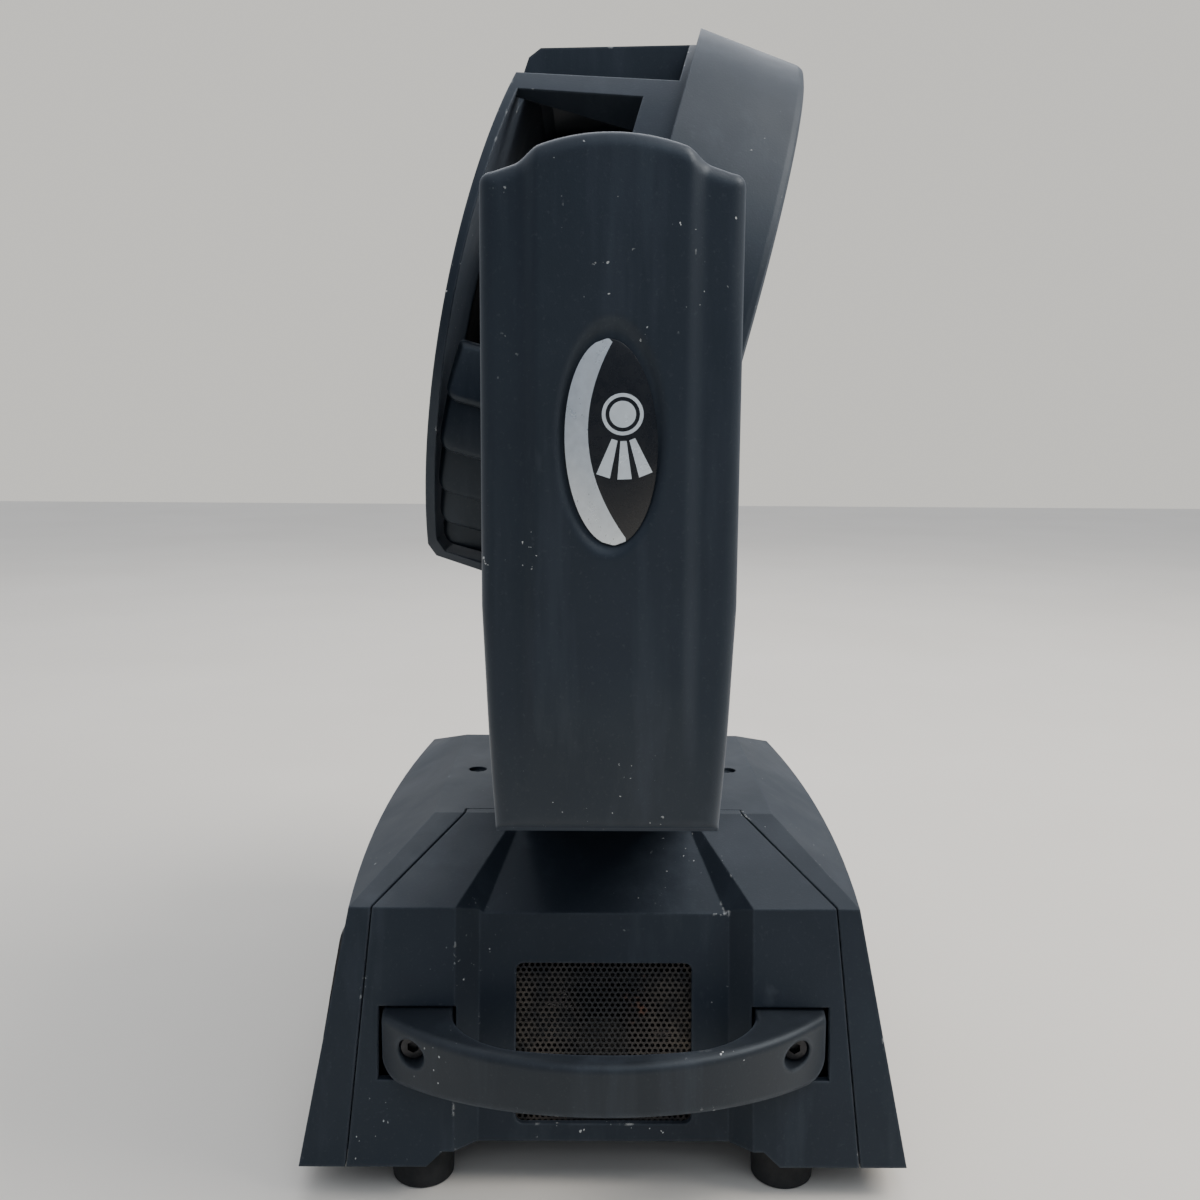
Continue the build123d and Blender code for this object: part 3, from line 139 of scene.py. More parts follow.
# --- node helpers ---------------------------------------------------------------------------
class Shader:
    """One node material on object coordinates, with short helpers for the usual nodes."""

    def __init__(self, name):
        self.material = bpy.data.materials.new(name)
        self.material.use_nodes = True
        self.tree = self.material.node_tree
        self.bsdf = self.tree.nodes["Principled BSDF"]
        self.place = self.add("ShaderNodeTexCoord").outputs["Object"]

    def add(self, kind, **values):
        node = self.tree.nodes.new(kind)
        for key, value in values.items():
            setattr(node, key, value)
        return node

    def link(self, source, target):
        self.tree.links.new(source, target)

    def set(self, **values):
        for key, value in values.items():
            self.bsdf.inputs[key.replace("_", " ")].default_value = value

    def noise(self, scale, detail=3.0, rough=0.55, stretch=None):
        node = self.add("ShaderNodeTexNoise")
        node.inputs["Scale"].default_value = scale
        node.inputs["Detail"].default_value = detail
        node.inputs["Roughness"].default_value = rough
        source = self.place
        if stretch:
            mapping = self.add("ShaderNodeMapping")
            mapping.inputs["Scale"].default_value = stretch
            self.link(self.place, mapping.inputs["Vector"])
            source = mapping.outputs["Vector"]
        self.link(source, node.inputs["Vector"])
        return node.outputs["Fac"]

    def band(self, source, low, high):
        """Maps source so that low gives 0 and high gives 1, clamped."""
        node = self.add("ShaderNodeMapRange")
        node.inputs["From Min"].default_value = low
        node.inputs["From Max"].default_value = high
        self.link(source, node.inputs["Value"])
        return node.outputs["Result"]

    def math(self, operation, first, second):
        node = self.add("ShaderNodeMath", operation=operation)
        for socket, value in zip(node.inputs, (first, second)):
            if isinstance(value, (int, float)):
                socket.default_value = value
            else:
                self.link(value, socket)
        return node.outputs["Value"]

    def mix(self, factor, first, second):
        node = self.add("ShaderNodeMix", data_type="RGBA")
        for index, value in ((0, factor), (6, first), (7, second)):
            socket = node.inputs[index]
            if isinstance(value, (int, float)):
                socket.default_value = value
            elif isinstance(value, tuple):
                socket.default_value = (*value, 1)
            else:
                self.link(value, socket)
        return node.outputs[2]

    def edge(self, radius, samples=4):
        """1 on sharp convex or concave edges, 0 on flat faces."""
        bevel = self.add("ShaderNodeBevel", samples=samples)
        bevel.inputs["Radius"].default_value = radius
        geometry = self.add("ShaderNodeNewGeometry")
        dot = self.add("ShaderNodeVectorMath", operation="DOT_PRODUCT")
        self.link(bevel.outputs["Normal"], dot.inputs[0])
        self.link(geometry.outputs["Normal"], dot.inputs[1])
        return self.band(dot.outputs["Value"], 0.995, 0.90)

    def bump(self, height, strength, distance, after=None):
        node = self.add("ShaderNodeBump")
        node.inputs["Strength"].default_value = strength
        node.inputs["Distance"].default_value = distance
        self.link(height, node.inputs["Height"])
        if after is not None:
            self.link(after, node.inputs["Normal"])
        self.link(node.outputs["Normal"], self.bsdf.inputs["Normal"])
        return node.outputs["Normal"]

    def color(self, source):
        self.link(source, self.bsdf.inputs["Base Color"])

    def roughness(self, source):
        self.link(source, self.bsdf.inputs["Roughness"])

    def gloss(self, scale, limits):
        """Roughness that drifts between two values."""
        level = self.add("ShaderNodeMapRange")
        self.link(self.noise(scale, 4.0, 0.6), level.inputs["Value"])
        level.inputs["From Min"].default_value = 0.3
        level.inputs["From Max"].default_value = 0.7
        level.inputs["To Min"].default_value = limits[0]
        level.inputs["To Max"].default_value = limits[1]
        self.roughness(level.outputs["Result"])


def moulded_plastic(name, dark, light, rough=(0.42, 0.60), chips=1.0, bevel=0.0010):
    """Satin blue-black moulding: cloudy handling marks, fine grain, edges lightened as rubbed wear and as a
    painted highlight, small pale chips.
    """
    s = Shader(name)
    cloud = s.band(s.noise(11.0, 5.0, 0.6), 0.34, 0.70)
    base = s.mix(cloud, dark, light)
    # vertical wipe marks and fine scuffs
    wipe = s.band(s.noise(55.0, 4.0, 0.65, stretch=(1.0, 1.0, 0.10)), 0.52, 0.80)
    base = s.mix(s.math("MULTIPLY", wipe, 0.30), base, (0.055, 0.066, 0.082))
    scuff = s.band(s.noise(160.0, 3.0, 0.7, stretch=(1.0, 0.35, 0.10)), 0.66, 0.78)
    patch = s.band(s.noise(16.0, 2.0, 0.5), 0.52, 0.66)
    base = s.mix(s.math("MULTIPLY", s.math("MULTIPLY", scuff, patch), 0.35), base, (0.13, 0.145, 0.16))
    dust = s.band(s.noise(700.0, 2.0, 0.7), 0.60, 0.80)
    base = s.mix(s.math("MULTIPLY", dust, 0.10), base, (0.13, 0.135, 0.14))
    edge = s.edge(bevel * 1.4)
    # every edge is lightened, partly as rubbed wear and partly as a painted highlight along the rims
    rub_and_highlight = s.math("MULTIPLY", edge, s.band(s.noise(60.0, 4.0, 0.7), 0.30, 0.75))
    base = s.mix(s.math("MULTIPLY", rub_and_highlight, 0.45), base, (0.115, 0.13, 0.15))
    # pale chips: sparse clusters over faces, denser along edges
    fleck = s.band(s.noise(430.0, 2.0, 0.6), 0.715, 0.735)
    cluster = s.band(s.noise(19.0, 2.0, 0.6), 0.56, 0.62)
    near_edge = s.math("MULTIPLY", edge, s.band(s.noise(45.0, 3.0, 0.65), 0.60, 0.64))
    fleck_edge = s.band(s.noise(380.0, 2.0, 0.6), 0.58, 0.60)
    chip = s.math("MAXIMUM", s.math("MULTIPLY", fleck, cluster), s.math("MULTIPLY", near_edge, fleck_edge))
    base = s.mix(s.math("MULTIPLY", chip, 0.80 * chips), base, (0.58, 0.59, 0.57))
    s.color(base)
    s.gloss(14.0, rough)
    s.set(Specular_IOR_Level=0.40, Sheen_Weight=0.10, Sheen_Roughness=0.5)
    s.bsdf.inputs["Specular Tint"].default_value = (0.80, 0.90, 1.0, 1)
    s.bsdf.inputs["Sheen Tint"].default_value = (0.70, 0.82, 1.0, 1)
    rounded = s.add("ShaderNodeBevel", samples=4)
    rounded.inputs["Radius"].default_value = bevel
    grain = s.bump(s.noise(1300.0, 2.0, 0.6), 0.30, 0.00012, rounded.outputs["Normal"])
    s.bump(s.noise(28.0, 2.0, 0.5), 0.06, 0.0006, grain)
    return s.material


def simple_surface(name, color, rough, metallic=0.0, vary=0.25, grain=0.15, scale=60.0, coat=0.0):
    """Even finish with light colour and gloss variation, for inner pieces and fittings."""
    s = Shader(name)
    darker = tuple(c * (1 - vary) for c in color)
    s.color(s.mix(s.band(s.noise(scale, 4.0), 0.3, 0.7), darker, color))
    s.gloss(scale * 0.7, (rough * 0.85, min(1.0, rough * 1.2)))
    s.set(Metallic=metallic, Coat_Weight=coat)
    s.bump(s.noise(scale * 20, 2.0), grain, 0.0001)
    return s.material


def clear_plastic(name, color, rough=0.04):
    """Clear moulding, with a roughness that drifts about the given one."""
    s = Shader(name)
    s.color(s.mix(s.band(s.noise(40.0), 0.4, 0.7), color, tuple(c * 0.96 for c in color)))
    s.roughness(s.math("MULTIPLY", s.noise(90.0), 2 * rough))
    s.set(IOR=1.49, Transmission_Weight=0.9)
    return s.material


def dusty_steel():
    """Dark painted sheet with beige dust and a little rust, thickest towards its two ends."""
    s = Shader("grille_steel")
    place = s.add("ShaderNodeSeparateXYZ")
    s.link(s.place, place.inputs["Vector"])
    aside = s.math("ABSOLUTE", place.outputs["Y"], 0.0)
    ends = s.band(aside, 0.006, 0.034)
    thickness = s.math("ADD", s.math("MULTIPLY", ends, 0.8), 0.03)
    amount = s.math("MULTIPLY", s.band(s.noise(70.0, 4.0, 0.65), 0.38, 0.66), thickness)
    paint = s.mix(s.band(s.noise(180.0, 3.0), 0.35, 0.7), (0.006, 0.0065, 0.008), (0.013, 0.0135, 0.015))
    dusty = s.mix(amount, paint, (0.115, 0.092, 0.068))
    rust = s.math("MULTIPLY", s.band(s.noise(110.0, 3.0, 0.6), 0.60, 0.68), s.band(s.noise(30.0), 0.52, 0.62))
    s.color(s.mix(s.math("MULTIPLY", rust, 0.55), dusty, (0.13, 0.050, 0.022)))
    s.gloss(150.0, (0.50, 0.80))
    s.bump(s.noise(900.0, 2.0), 0.3, 0.0001)
    return s.material


# --- materials for the CAD nodes ------------------------------------------------------------
BLACK, BLACK_LIGHT = (0.0060, 0.0094, 0.0148), (0.0115, 0.0165, 0.0240)
HANDLE_BLACK, HANDLE_LIGHT = (0.0065, 0.0080, 0.0105), (0.0125, 0.0150, 0.0180)
BLADE_BLACK, BLADE_LIGHT = (0.0030, 0.0055, 0.0095), (0.0060, 0.0098, 0.0155)


def paint_nodes():
    housing = moulded_plastic("moulded_housing", BLACK, BLACK_LIGHT)
    handle = moulded_plastic("moulded_handle", HANDLE_BLACK, HANDLE_LIGHT, (0.36, 0.50), 2.0, 0.0022)
    blade = moulded_plastic("moulded_blade", BLADE_BLACK, BLADE_LIGHT, (0.32, 0.46), 0.4, 0.0009)
    palette = {
        "housing": housing,
        "handle": handle,
        "blade": blade,
        # near-black sheet behind the louvres: painted shade that hides the back slots
        "screen": simple_surface("shade_screen_mesh", (0.004, 0.004, 0.0045), 0.8, 0.0, 0.4, 0.3, 300),
        "resin": simple_surface("black_resin", (0.003, 0.0035, 0.005), 0.27, 0.0, 0.3, 0.03, 500, coat=0.15),
        "silver": simple_surface("silver_foil", (0.62, 0.66, 0.68), 0.30, 0.55, 0.12, 0.05, 400, coat=0.9),
        "print": simple_surface("white_print", (0.66, 0.71, 0.73), 0.25, 0.2, 0.08, 0.02, 400, coat=0.9),
        "badge": simple_surface("badge_edge", (0.01, 0.01, 0.012), 0.15, coat=0.8),
        "grille": dusty_steel(),
        "chassis": simple_surface("powder_coat", (0.022, 0.022, 0.024), 0.55, 0.0, 0.3, 0.5, 120),
        "foot_rubber": simple_surface("foot_rubber", (0.010, 0.011, 0.012), 0.75, 0.0, 0.4, 0.5, 150),
        "steel": simple_surface("zinc_steel", (0.52, 0.52, 0.54), 0.35, 1.0, 0.25, 0.3, 80),
        "screw": simple_surface("black_oxide", (0.055, 0.055, 0.058), 0.35, 0.9, 0.4, 0.3, 300),
        "pulley": simple_surface("turned_aluminium", (0.6, 0.6, 0.62), 0.3, 1.0),
        "belt": simple_surface("belt_rubber", (0.012, 0.012, 0.012), 0.7),
        "motor": simple_surface("motor_paint", (0.03, 0.03, 0.032), 0.4, 0.6),
        "board": simple_surface("circuit_board", (0.01, 0.09, 0.035), 0.4, 0.0, 0.4, 0.3, 250),
        "supply": simple_surface("supply_case", (0.5, 0.5, 0.52), 0.4, 1.0),
        "fan": simple_surface("fan_plastic", (0.015, 0.015, 0.016), 0.45),
        "display": simple_surface("smoked_panel", (0.010, 0.010, 0.012), 0.12, coat=0.6, grain=0.02),
        "window": simple_surface("smoked_window", (0.012, 0.002, 0.002), 0.06, coat=0.9, grain=0.01),
        "button": simple_surface("button_plastic", (0.035, 0.036, 0.04), 0.45),
        "socket": simple_surface("socket_plastic", (0.016, 0.016, 0.017), 0.4),
        "lens": clear_plastic("lens_acrylic", (0.93, 0.95, 0.97)),
        "lens_plate": simple_surface("lens_plate_black", (0.012, 0.012, 0.013), 0.5, 0.0, 0.3, 0.4, 200),
        "led_board": simple_surface("white_mask", (0.75, 0.75, 0.73), 0.4),
        "heatsink": simple_surface("black_anodised", (0.02, 0.021, 0.024), 0.38, 0.7, 0.4, 0.2, 90),
    }
    for row in frame["record"]["subparts"]:
        node = NODES[row["node"]]
        node.data.materials.clear()
        node.data.materials.append(palette[row["material_slot"]])
    NODES["display_window"].data.materials[0] = palette["window"]
    return palette


# --- floor ----------------------------------------------------------------------------------
def make_floor():
    mesh = bpy.data.meshes.new("floor")
    corners = [(x * FLOOR_HALF, y * FLOOR_HALF, 0) for x, y in ((-1, -1), (1, -1), (1, 1), (-1, 1))]
    mesh.from_pydata(corners, [], [(0, 1, 2, 3)])
    floor = bpy.data.objects.new("floor", mesh)
    bpy.context.scene.collection.objects.link(floor)
    s = Shader("pale_floor")
    s.color(s.mix(s.band(s.noise(3.0), 0.3, 0.7), FLOOR_DARK, FLOOR_LIGHT))
    s.set(Roughness=0.6)
    mesh.materials.append(s.material)


# --- mesh helpers ---------------------------------------------------------------------------
def add_piece(name, points, faces, body, material, smooth=True):
    mesh = bpy.data.meshes.new(name)
    mesh.from_pydata([tuple(point) for point in points], [], faces)
    mesh.update()
    if smooth:
        mesh.polygons.foreach_set("use_smooth", [True] * len(mesh.polygons))
    mesh.materials.append(material)
    piece = bpy.data.objects.new(name, mesh)
    bpy.context.scene.collection.objects.link(piece)
    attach(piece, body)
    return piece


def grid_faces(rows, columns, flip=False):
    faces = []
    for row in range(rows - 1):
        for column in range(columns - 1):
            a = row * columns + column
            face = (a, a + 1, a + columns + 1, a + columns)
            faces.append(face[::-1] if flip else face)
    return faces


def spread(start, end, step, fine):
    """Evenly spaced values from start to end, with the fine offsets repeated at both ends."""
    first, last = start + fine[-1], end - fine[-1]
    count = max(2, round((last - first) / step))
    middle = [first + (last - first) * i / count for i in range(1, count)]
    return [start + f for f in fine] + middle + [end - f for f in reversed(fine)]


def smoothstep(low, high, value):
    t = min(max((value - low) / (high - low), 0.0), 1.0)
    return t * t * (3 - 2 * t)


def edge_distances(grid, width):
    """Each grid point's distance to the outline, and the indices of the outline in order."""
    points = np.array(grid)
    border = list(range(width)) + list(range(2 * width - 1, len(grid), width))
    border += list(range(len(grid) - 2, len(grid) - width - 1, -1))
    border += list(range(len(grid) - 2 * width, 0, -width))
    loop = points[border]
    ahead = np.roll(loop, -1, axis=0)
    nearest = np.full(len(points), 1.0)
    for start, end in zip(loop, ahead):
        along = end - start
        length = max(float(along @ along), 1e-12)
        t = np.clip(((points - start) @ along) / length, 0, 1)
        gap = np.hypot(*(points - start - t[:, None] * along).T)
        nearest = np.minimum(nearest, gap)
    return nearest, border


def join_rings(faces, last, fresh, flip):
    """Adds a closed strip of quads between two rings of point indices."""
    for i in range(len(last)):
        j = (i + 1) % len(last)
        quad = (last[i], fresh[i], fresh[j], last[j])
        faces.append(quad[::-1] if flip else quad)


def add_skin(piece, thickness):
    """Gives a one-sided sheet a wall on its inner side."""
    skin = piece.modifiers.new("skin", "SOLIDIFY")
    skin.thickness = thickness
    skin.offset = -1


# --- arm covers -----------------------------------------------------------------------------
ARM_LOW, ARM_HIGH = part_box("arm_outer_cover_left")
ARM_FACE, ARM_SEAM, ARM_HALF, ARM_TOP = -ARM_LOW.x, -ARM_HIGH.x, ARM_HIGH.y, ARM_HIGH.z
ARM_FOOT_Z, ARM_FOOT_X, ARM_FOOT_HALF = 0.1555, 0.178, 0.0365
ARM_WAIST_Z, ARM_BEND_Z = 0.230, 0.195
SHOULDER_DROP, CORNER_R, CROWN_R = 0.011, 0.004, 0.06558
CROWN_HALF, SHOULDER_HALF = 0.022, 0.030
CROWN_FALL, SHOULDER_FALL = 0.42, 0.3   # slopes where the S-shaped shoulder starts and ends
RIM_R, ARM_SKIN = 0.0050, 0.0022
BAND_HALF, BAND_FOOT, BAND_RISE = 0.0222, 0.0284, 0.0032
UNDER_SLOPE = 0.2269
RECESS_Z, RECESS_RY, RECESS_RZ, RECESS_DEPTH = 0.2825, 0.0160, 0.0343, 0.0021
RECESS_WALL = (0.93, 1.06)              # where its wall starts and ends, as shares of its radii
ARM_STEP_Y, ARM_STEP_Z, ARM_SIDE_RINGS = 0.0009, 0.0012, 5
SHOULDER_RISE, FACE_BLEND, TOP_ZONE, UNDER_ZONE = 0.002, 0.004, 0.020, 0.006
FINE = [0.0, 0.0002, 0.0006, 0.0011, 0.0018, 0.0027, 0.0038, 0.0050]


def arm_half(z):
    """Half width of the arm's side view at a height."""
    rise = min(max((z - ARM_FOOT_Z) / (ARM_WAIST_Z - ARM_FOOT_Z), 0.0), 1.0)
    return ARM_FOOT_HALF + (ARM_HALF - ARM_FOOT_HALF) * rise


def arm_top(y):
    """Height of the side view's top edge: round crown, S-shaped shoulder, rounded corner."""
    y = abs(y)
    shoulder = ARM_TOP - SHOULDER_DROP
    if y <= CROWN_HALF:
        return ARM_TOP - CROWN_R + sqrt(CROWN_R ** 2 - y ** 2)
    if y <= SHOULDER_HALF:
        span = SHOULDER_HALF - CROWN_HALF
        t = (y - CROWN_HALF) / span
        start = ARM_TOP - CROWN_R + sqrt(CROWN_R ** 2 - CROWN_HALF ** 2)
        end = shoulder + SHOULDER_RISE
        fall = -CROWN_FALL * span * (t ** 3 - 2 * t ** 2 + t) - SHOULDER_FALL * span * (t ** 3 - t ** 2)
        return start * (2 * t ** 3 - 3 * t ** 2 + 1) + end * (3 * t ** 2 - 2 * t ** 3) + fall
    corner = ARM_HALF - CORNER_R
    if y <= corner:
        return shoulder + SHOULDER_RISE * (corner - y) / (corner - SHOULDER_HALF)
    return shoulder - CORNER_R + sqrt(max(CORNER_R ** 2 - (y - corner) ** 2, 0.0))


def arm_face(y, z, edge):
    """Distance of the outer face from the pan axis; edge is the distance to the outline."""
    band = BAND_RISE * smoothstep(BAND_HALF, BAND_FOOT, abs(y))
    flat = ARM_FACE - band
    lean = ARM_FACE - (ARM_BEND_Z - z) * (ARM_FACE - ARM_FOOT_X) / (ARM_BEND_Z - ARM_FOOT_Z)
    h = min(max(0.5 + 0.5 * (lean - flat) / FACE_BLEND, 0.0), 1.0)
    face = lean + (flat - lean) * h - FACE_BLEND * h * (1 - h)
    if edge < RIM_R:
        face -= RIM_R - sqrt(RIM_R ** 2 - (RIM_R - edge) ** 2)
    reach = hypot(y / RECESS_RY, (z - RECESS_Z) / RECESS_RZ)
    return face - RECESS_DEPTH * (1 - smoothstep(*RECESS_WALL, reach))


def arm_outline(columns, rows):
    """Grid of points that fills the side view, as (y, z)."""
    grid = []
    for row in rows:
        for column in columns:
            top = arm_top(column)
            share = (row - ARM_FOOT_Z) / (ARM_TOP - ARM_FOOT_Z)
            z = ARM_FOOT_Z + share * (top - ARM_FOOT_Z)
            if row > ARM_TOP - TOP_ZONE:
                z = top - (ARM_TOP - row) * (top - ARM_FOOT_Z) / (ARM_TOP - ARM_FOOT_Z)
            grid.append((column * arm_half(z) / ARM_HALF, z))
    return grid


def under_drop(z, reach):
    """How far the sloping underside has come down at a reach from the pan axis; 0 higher up."""
    under = 1 - smoothstep(ARM_FOOT_Z, ARM_FOOT_Z + UNDER_ZONE, z)
    return UNDER_SLOPE * (ARM_FOOT_X - reach) * under


def make_arm_cover(side, material):
    """Outer arm half with a rolled rim, twin vertical creases and a badge recess."""
    columns = spread(-ARM_HALF, ARM_HALF, ARM_STEP_Y, FINE)
    rows = spread(ARM_FOOT_Z, ARM_TOP, ARM_STEP_Z, FINE)
    grid = arm_outline(columns, rows)
    edges, border = edge_distances(grid, len(columns))
    points = [(side * arm_face(y, z, edge), y, z) for (y, z), edge in zip(grid, edges)]
    faces = grid_faces(len(rows), len(columns), flip=side < 0)
    for index in border:
        x, y, z = points[index]
        points[index] = (x, y, z - under_drop(z, abs(x)))
    rim = [points[index] for index in border]
    last = border
    for ring in range(1, ARM_SIDE_RINGS + 1):
        fresh = list(range(len(points), len(points) + len(rim)))
        for x, y, z in rim:
            reach = abs(x) + (ARM_SEAM - abs(x)) * ring / ARM_SIDE_RINGS
            points.append((side * reach, y, z + under_drop(z, abs(x)) - under_drop(z, reach)))
        join_rings(faces, last, fresh, flip=side < 0)
        last = fresh
    node = "arm_outer_cover_left" if side < 0 else "arm_outer_cover_right"
    name = node.replace("outer_cover", "outer_moulding")
    piece = add_piece(name, points, faces, "yoke", material)
    add_skin(piece, ARM_SKIN)
    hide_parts(node)


# --- badges ---------------------------------------------------------------------------------
BADGE_Z, BADGE_RY, BADGE_RZ = 0.281, 0.0142, 0.0310
BADGE_BASE, BADGE_DOME, BADGE_LEAN = 0.1869, 0.00100, radians(2.2)
PRINT_LIFT, BADGE_SKIRT, BADGE_RINGS, BADGE_SECTORS = 0.00004, 0.0013, 16, 96
CRESCENT_END, CRESCENT_MARGIN = 0.9995, 0.985
LAMP_AT, LAMP_R, LAMP_RING = (0.0038, 0.0085), 0.0040, (0.0052, 0.0063)
RAY_REACH, RAY_FAN, RAY_WIDE = (0.0080, 0.0195), 0.34, 0.0031


def badge_point(side, across, up, lift=0.0):
    """Point on the domed badge: across is to the right when facing it, both in metres."""
    reach = min(hypot(across / BADGE_RY, up / BADGE_RZ), 1.0)
    height = BADGE_BASE + BADGE_DOME * (1 - reach ** 4) + lift
    turned = across * cos(BADGE_LEAN) - up * sin(BADGE_LEAN)
    risen = across * sin(BADGE_LEAN) + up * cos(BADGE_LEAN)
    return (side * height, side * turned, BADGE_Z + risen)


def badge_patch(name, side, spot, rows, columns, material):
    """Printed patch that follows the dome: spot(u, v) gives across and up for 0..1."""
    points = []
    for row in range(rows):
        for column in range(columns):
            across, up = spot(column / (columns - 1), row / (rows - 1))
            points.append(badge_point(side, across, up, PRINT_LIFT))
    add_piece(name, points, grid_faces(rows, columns), "yoke", material)


def crescent_spot(u, v):
    """Crescent between the badge's edge and a curve that bows towards its middle."""
    level = -CRESCENT_END + 2 * CRESCENT_END * v
    rim = sqrt(1 - level ** 2) * CRESCENT_MARGIN
    outer, inner = -rim, min(-0.48 + 0.108 * level + 0.728 * level ** 2, rim)
    return (outer + (inner - outer) * u) * BADGE_RY, -level * BADGE_RZ


def ring_spot(centre, inner, outer):
    """Layout of a flat ring, or of a disc when inner is 0."""
    def spot(u, v):
        angle = 2 * pi * u
        radius = inner + (outer - inner) * v
        return centre[0] + radius * cos(angle), centre[1] + radius * sin(angle)
    return spot


def ray_spot(centre, angle, start, end, wide):
    """Layout of a ray that widens as it runs down from the lamp."""
    def spot(u, v):
        reach = start + (end - start) * v
        half = wide * (0.6 + 0.8 * v) * (u - 0.5)
        across = centre[0] + reach * sin(angle) + half * cos(angle)
        return across, centre[1] - reach * cos(angle) + half * sin(angle)
    return spot


def make_badge(side, palette):
    """Domed oval badge: black resin with a silver crescent and a plain lamp-and-rays mark."""
    name = "badge_left" if side < 0 else "badge_right"
    rings, sectors = BADGE_RINGS, BADGE_SECTORS
    points = []
    for ring in range(rings + 1):
        share = sin(0.5 * pi * ring / rings)
        for sector in range(sectors):
            angle = 2 * pi * sector / sectors
            across, up = share * BADGE_RY * cos(angle), share * BADGE_RZ * sin(angle)
            points.append(badge_point(side, across, up))
    for sector in range(sectors):
        x, y, z = points[rings * sectors + sector]
        points.append((x - side * BADGE_SKIRT, y, z))
    faces = []
    for ring in range(rings + 1):
        for sector in range(sectors):
            a, b = ring * sectors + sector, ring * sectors + (sector + 1) % sectors
            faces.append((a, a + sectors, b + sectors, b))
    dome = add_piece(name, points, faces, "yoke", palette["resin"])
    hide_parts("arm_badges")
    badge_patch(name + "_crescent", side, crescent_spot, 60, 8, palette["silver"])
    badge_patch(name + "_lamp", side, ring_spot(LAMP_AT, 0.0, LAMP_R), 8, 48, palette["print"])
    badge_patch(name + "_lamp_ring", side, ring_spot(LAMP_AT, *LAMP_RING), 4, 60, palette["print"])
    for index, angle in enumerate((-RAY_FAN, 0.0, RAY_FAN)):
        spot = ray_spot(LAMP_AT, angle, *RAY_REACH, RAY_WIDE)
        badge_patch(f"{name}_ray_{index + 1}", side, spot, 16, 6, palette["print"])


# --- perforated grilles ---------------------------------------------------------------------
GRILLE_PITCH, GRILLE_HOLE = 0.0022, 0.00078
GRILLE_MARGIN, GRILLE_T = 0.002, 0.0008
WALL_SLOPE = 0.17143


def grille_cell(mesh, middle, across, up, flip):
    """One hexagonal cell of sheet round a hole, as six five-sided faces."""
    corner_r = GRILLE_PITCH / sqrt(3)
    rim = [middle + corner_r * (across * sin(k * pi / 3) + up * cos(k * pi / 3)) for k in range(6)]
    hole = [middle + GRILLE_HOLE * (across * sin(k * pi / 6) + up * cos(k * pi / 6)) for k in range(12)]
    outer = [mesh.verts.new(point) for point in rim]
    inner = [mesh.verts.new(point) for point in hole]
    for k in range(6):
        far = (k + 1) % 6
        loop = [outer[k], outer[far], inner[2 * far], inner[2 * k + 1], inner[2 * k]]
        mesh.faces.new(loop[::-1] if flip else loop)


def make_grille(side, material):
    """Steel sheet with staggered round holes, parallel to the leaning wall."""
    node = "side_grille_left" if side < 0 else "side_grille_right"
    low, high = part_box(node)
    centre = (low + high) / 2
    up = Vector((-side * WALL_SLOPE, 0, 1)).normalized()
    across = Vector((0, 1, 0))
    row_pitch = GRILLE_PITCH * sqrt(3) / 2
    half_across, half_up = high.y - GRILLE_MARGIN, (high.z - low.z) / 2 - GRILLE_MARGIN
    mesh = bmesh.new()
    rows, count = int(half_up / row_pitch), int(half_across / GRILLE_PITCH)
    for row in range(-rows, rows + 1):
        for column in range(-count, count + 1):
            shift = (column + (0.5 if row % 2 else 0)) * GRILLE_PITCH
            grille_cell(mesh, centre + across * shift + up * (row * row_pitch), across, up, side > 0)
    bmesh.ops.remove_doubles(mesh, verts=mesh.verts, dist=1e-5)
    data = bpy.data.meshes.new(node + "_sheet")
    mesh.to_mesh(data)
    mesh.free()
    data.materials.append(material)
    piece = bpy.data.objects.new(node + "_sheet", data)
    bpy.context.scene.collection.objects.link(piece)
    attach(piece, "base")
    thick = piece.modifiers.new("sheet", "SOLIDIFY")
    thick.thickness = GRILLE_T
    thick.offset = 0
    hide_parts(node)


# --- louvre blades and a dark shade screen in the head -------------------------------------
HEAD_AT = Vector((0, 0, (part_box("trunnion_left")[0].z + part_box("trunnion_left")[1].z) / 2))
BEAM_DROP = radians(15.2)
BEAM = Vector((0, -cos(BEAM_DROP), -sin(BEAM_DROP)))
BEAM_UP = Vector((0, -sin(BEAM_DROP), cos(BEAM_DROP)))
BLADE_EDGES = (98.5, 107.5, 117.0, 125.8, 133.3, 139.4)
BLADE_TUCK, BLADE_LIP, BLADE_DEEP = 0.1125, 0.1200, 0.0045
BLADE_FRONT, BLADE_CORNER, BLADE_ROLL = -0.021, 0.0040, 0.0014
BLADE_REAR, BLADE_REAR_TURN = (-0.0505, -0.0415), (107.0, 139.0)
BLADE_STEP_ALONG, BLADE_STEP_ROUND, BLADE_SKIN = 0.002, 0.0012, 0.0012
BLADE_FINE = [0.0, 0.0001, 0.0003, 0.0006, 0.0010, 0.0014]
SCREEN_R, SCREEN_AT, SCREEN_PLEAT, SCREEN_RINGS, SCREEN_SECTORS = 0.0640, -0.0568, 0.0012, 24, 64
DOME_CURVE, DOME_MID = 0.72, 0.0415


def head_point(side, angle, radius, along):
    """Point in the head: angle in degrees from up, radius from the beam axis, along the beam."""
    turn = radians(angle)
    return HEAD_AT + Vector((side * radius * sin(turn), 0, 0)) + BEAM_UP * (radius * cos(turn)) + BEAM * along


def blade_rear(angle):
    """Rear end of the blades, which follows the domed back of the head."""
    start, end = BLADE_REAR_TURN
    share = min(max((angle - start) / (end - start), 0.0), 1.0)
    return BLADE_REAR[0] + (BLADE_REAR[1] - BLADE_REAR[0]) * share ** 1.5


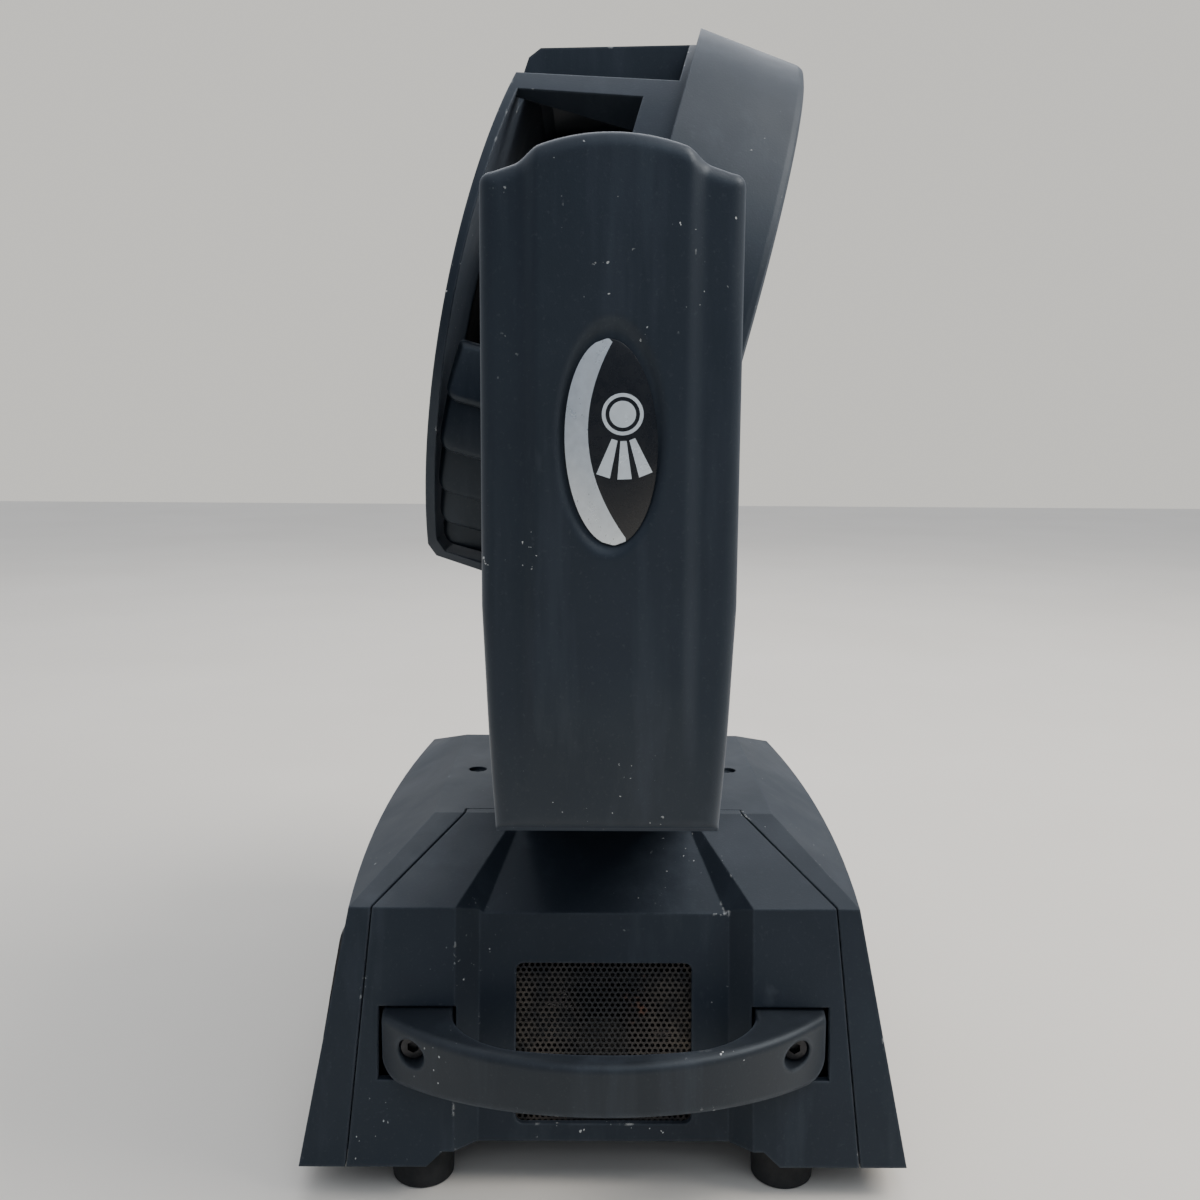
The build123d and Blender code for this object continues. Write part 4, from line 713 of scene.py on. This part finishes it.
def blade_grid(start, end, columns, rows):
    """Flat layout of one blade, as (angle, along) with a rounded lower rear corner."""
    arc = radians(end - start) * BLADE_LIP
    grid = []
    for row in rows:
        angle = start + (end - start) * row
        to_lip = (1 - row) * arc
        inset = 0.0
        if to_lip < BLADE_CORNER:
            inset = BLADE_CORNER - sqrt(BLADE_CORNER ** 2 - (BLADE_CORNER - to_lip) ** 2)
        rear = blade_rear(angle) + inset
        grid += [(angle, rear + (BLADE_FRONT - rear) * column) for column in columns]
    return grid


def blade_radius(share):
    """Distance from the beam axis, from the tucked upper edge (0) to the lip (1)."""
    return BLADE_TUCK + (BLADE_LIP - BLADE_TUCK) * share


def make_blade(side, index, material):
    """One louvre blade: a slanting panel with a rolled rear end and a ledge under its lip."""
    start, end = BLADE_EDGES[index], BLADE_EDGES[index + 1]
    arc = radians(end - start) * BLADE_LIP
    long = BLADE_FRONT - BLADE_REAR[0]
    columns = [value / long for value in spread(0, long, BLADE_STEP_ALONG, BLADE_FINE)]
    rows = [value / arc for value in spread(0, arc, BLADE_STEP_ROUND, BLADE_FINE)]
    grid = blade_grid(start, end, columns, rows)
    flat = [(along, radians(angle) * BLADE_LIP) for angle, along in grid]
    edges, border = edge_distances(flat, len(columns))
    points = []
    for (angle, along), edge in zip(grid, edges):
        radius = blade_radius((angle - start) / (end - start))
        if edge < BLADE_ROLL:
            radius -= BLADE_ROLL - sqrt(BLADE_ROLL ** 2 - (BLADE_ROLL - edge) ** 2)
        points.append(head_point(side, angle, radius, along))
    faces = grid_faces(len(rows), len(columns), flip=side > 0)
    last = border
    for ring in (1, 2):
        fresh = list(range(len(points), len(points) + len(border)))
        for angle, along in (grid[spot] for spot in border):
            radius = blade_radius((angle - start) / (end - start)) - BLADE_ROLL
            points.append(head_point(side, angle, radius - BLADE_DEEP * ring / 2, along))
        join_rings(faces, last, fresh, flip=side > 0)
        last = fresh
    name = f"louvre_{'left' if side < 0 else 'right'}_{index + 1}"
    piece = add_piece(name, points, faces, "head", material)
    add_skin(piece, BLADE_SKIN)
    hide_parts("side_louvres")


def make_shade_screen(material):
    """Near-black pleated disc that follows the domed back, in front of its air slots; it paints shade into
    the head by hiding the slots.
    """
    rings, sectors = SCREEN_RINGS, SCREEN_SECTORS
    points, faces = [], []
    for ring in range(rings + 1):
        radius = SCREEN_R * (ring + 0.01) / (rings + 0.01)
        for sector in range(sectors):
            angle = 360 * sector / sectors
            up = radius * cos(radians(angle))
            along = SCREEN_AT + DOME_CURVE * (up - DOME_MID) ** 2 + SCREEN_PLEAT * (ring % 2)
            points.append(head_point(1, angle, radius, along))
    for ring in range(rings):
        for sector in range(sectors):
            a, b = ring * sectors + sector, ring * sectors + (sector + 1) % sectors
            faces.append((a, b, b + sectors, a + sectors))
    add_piece("shade_screen", points, faces, "head", material, smooth=False)


# --- build ----------------------------------------------------------------------------------
make_camera()
make_lights()
make_floor()
PALETTE = paint_nodes()
for side in (-1, 1):
    make_arm_cover(side, PALETTE["housing"])
    make_badge(side, PALETTE)
    make_grille(side, PALETTE["grille"])
    for blade in range(len(BLADE_EDGES) - 1):
        make_blade(side, blade, PALETTE["blade"])
make_shade_screen(PALETTE["screen"])
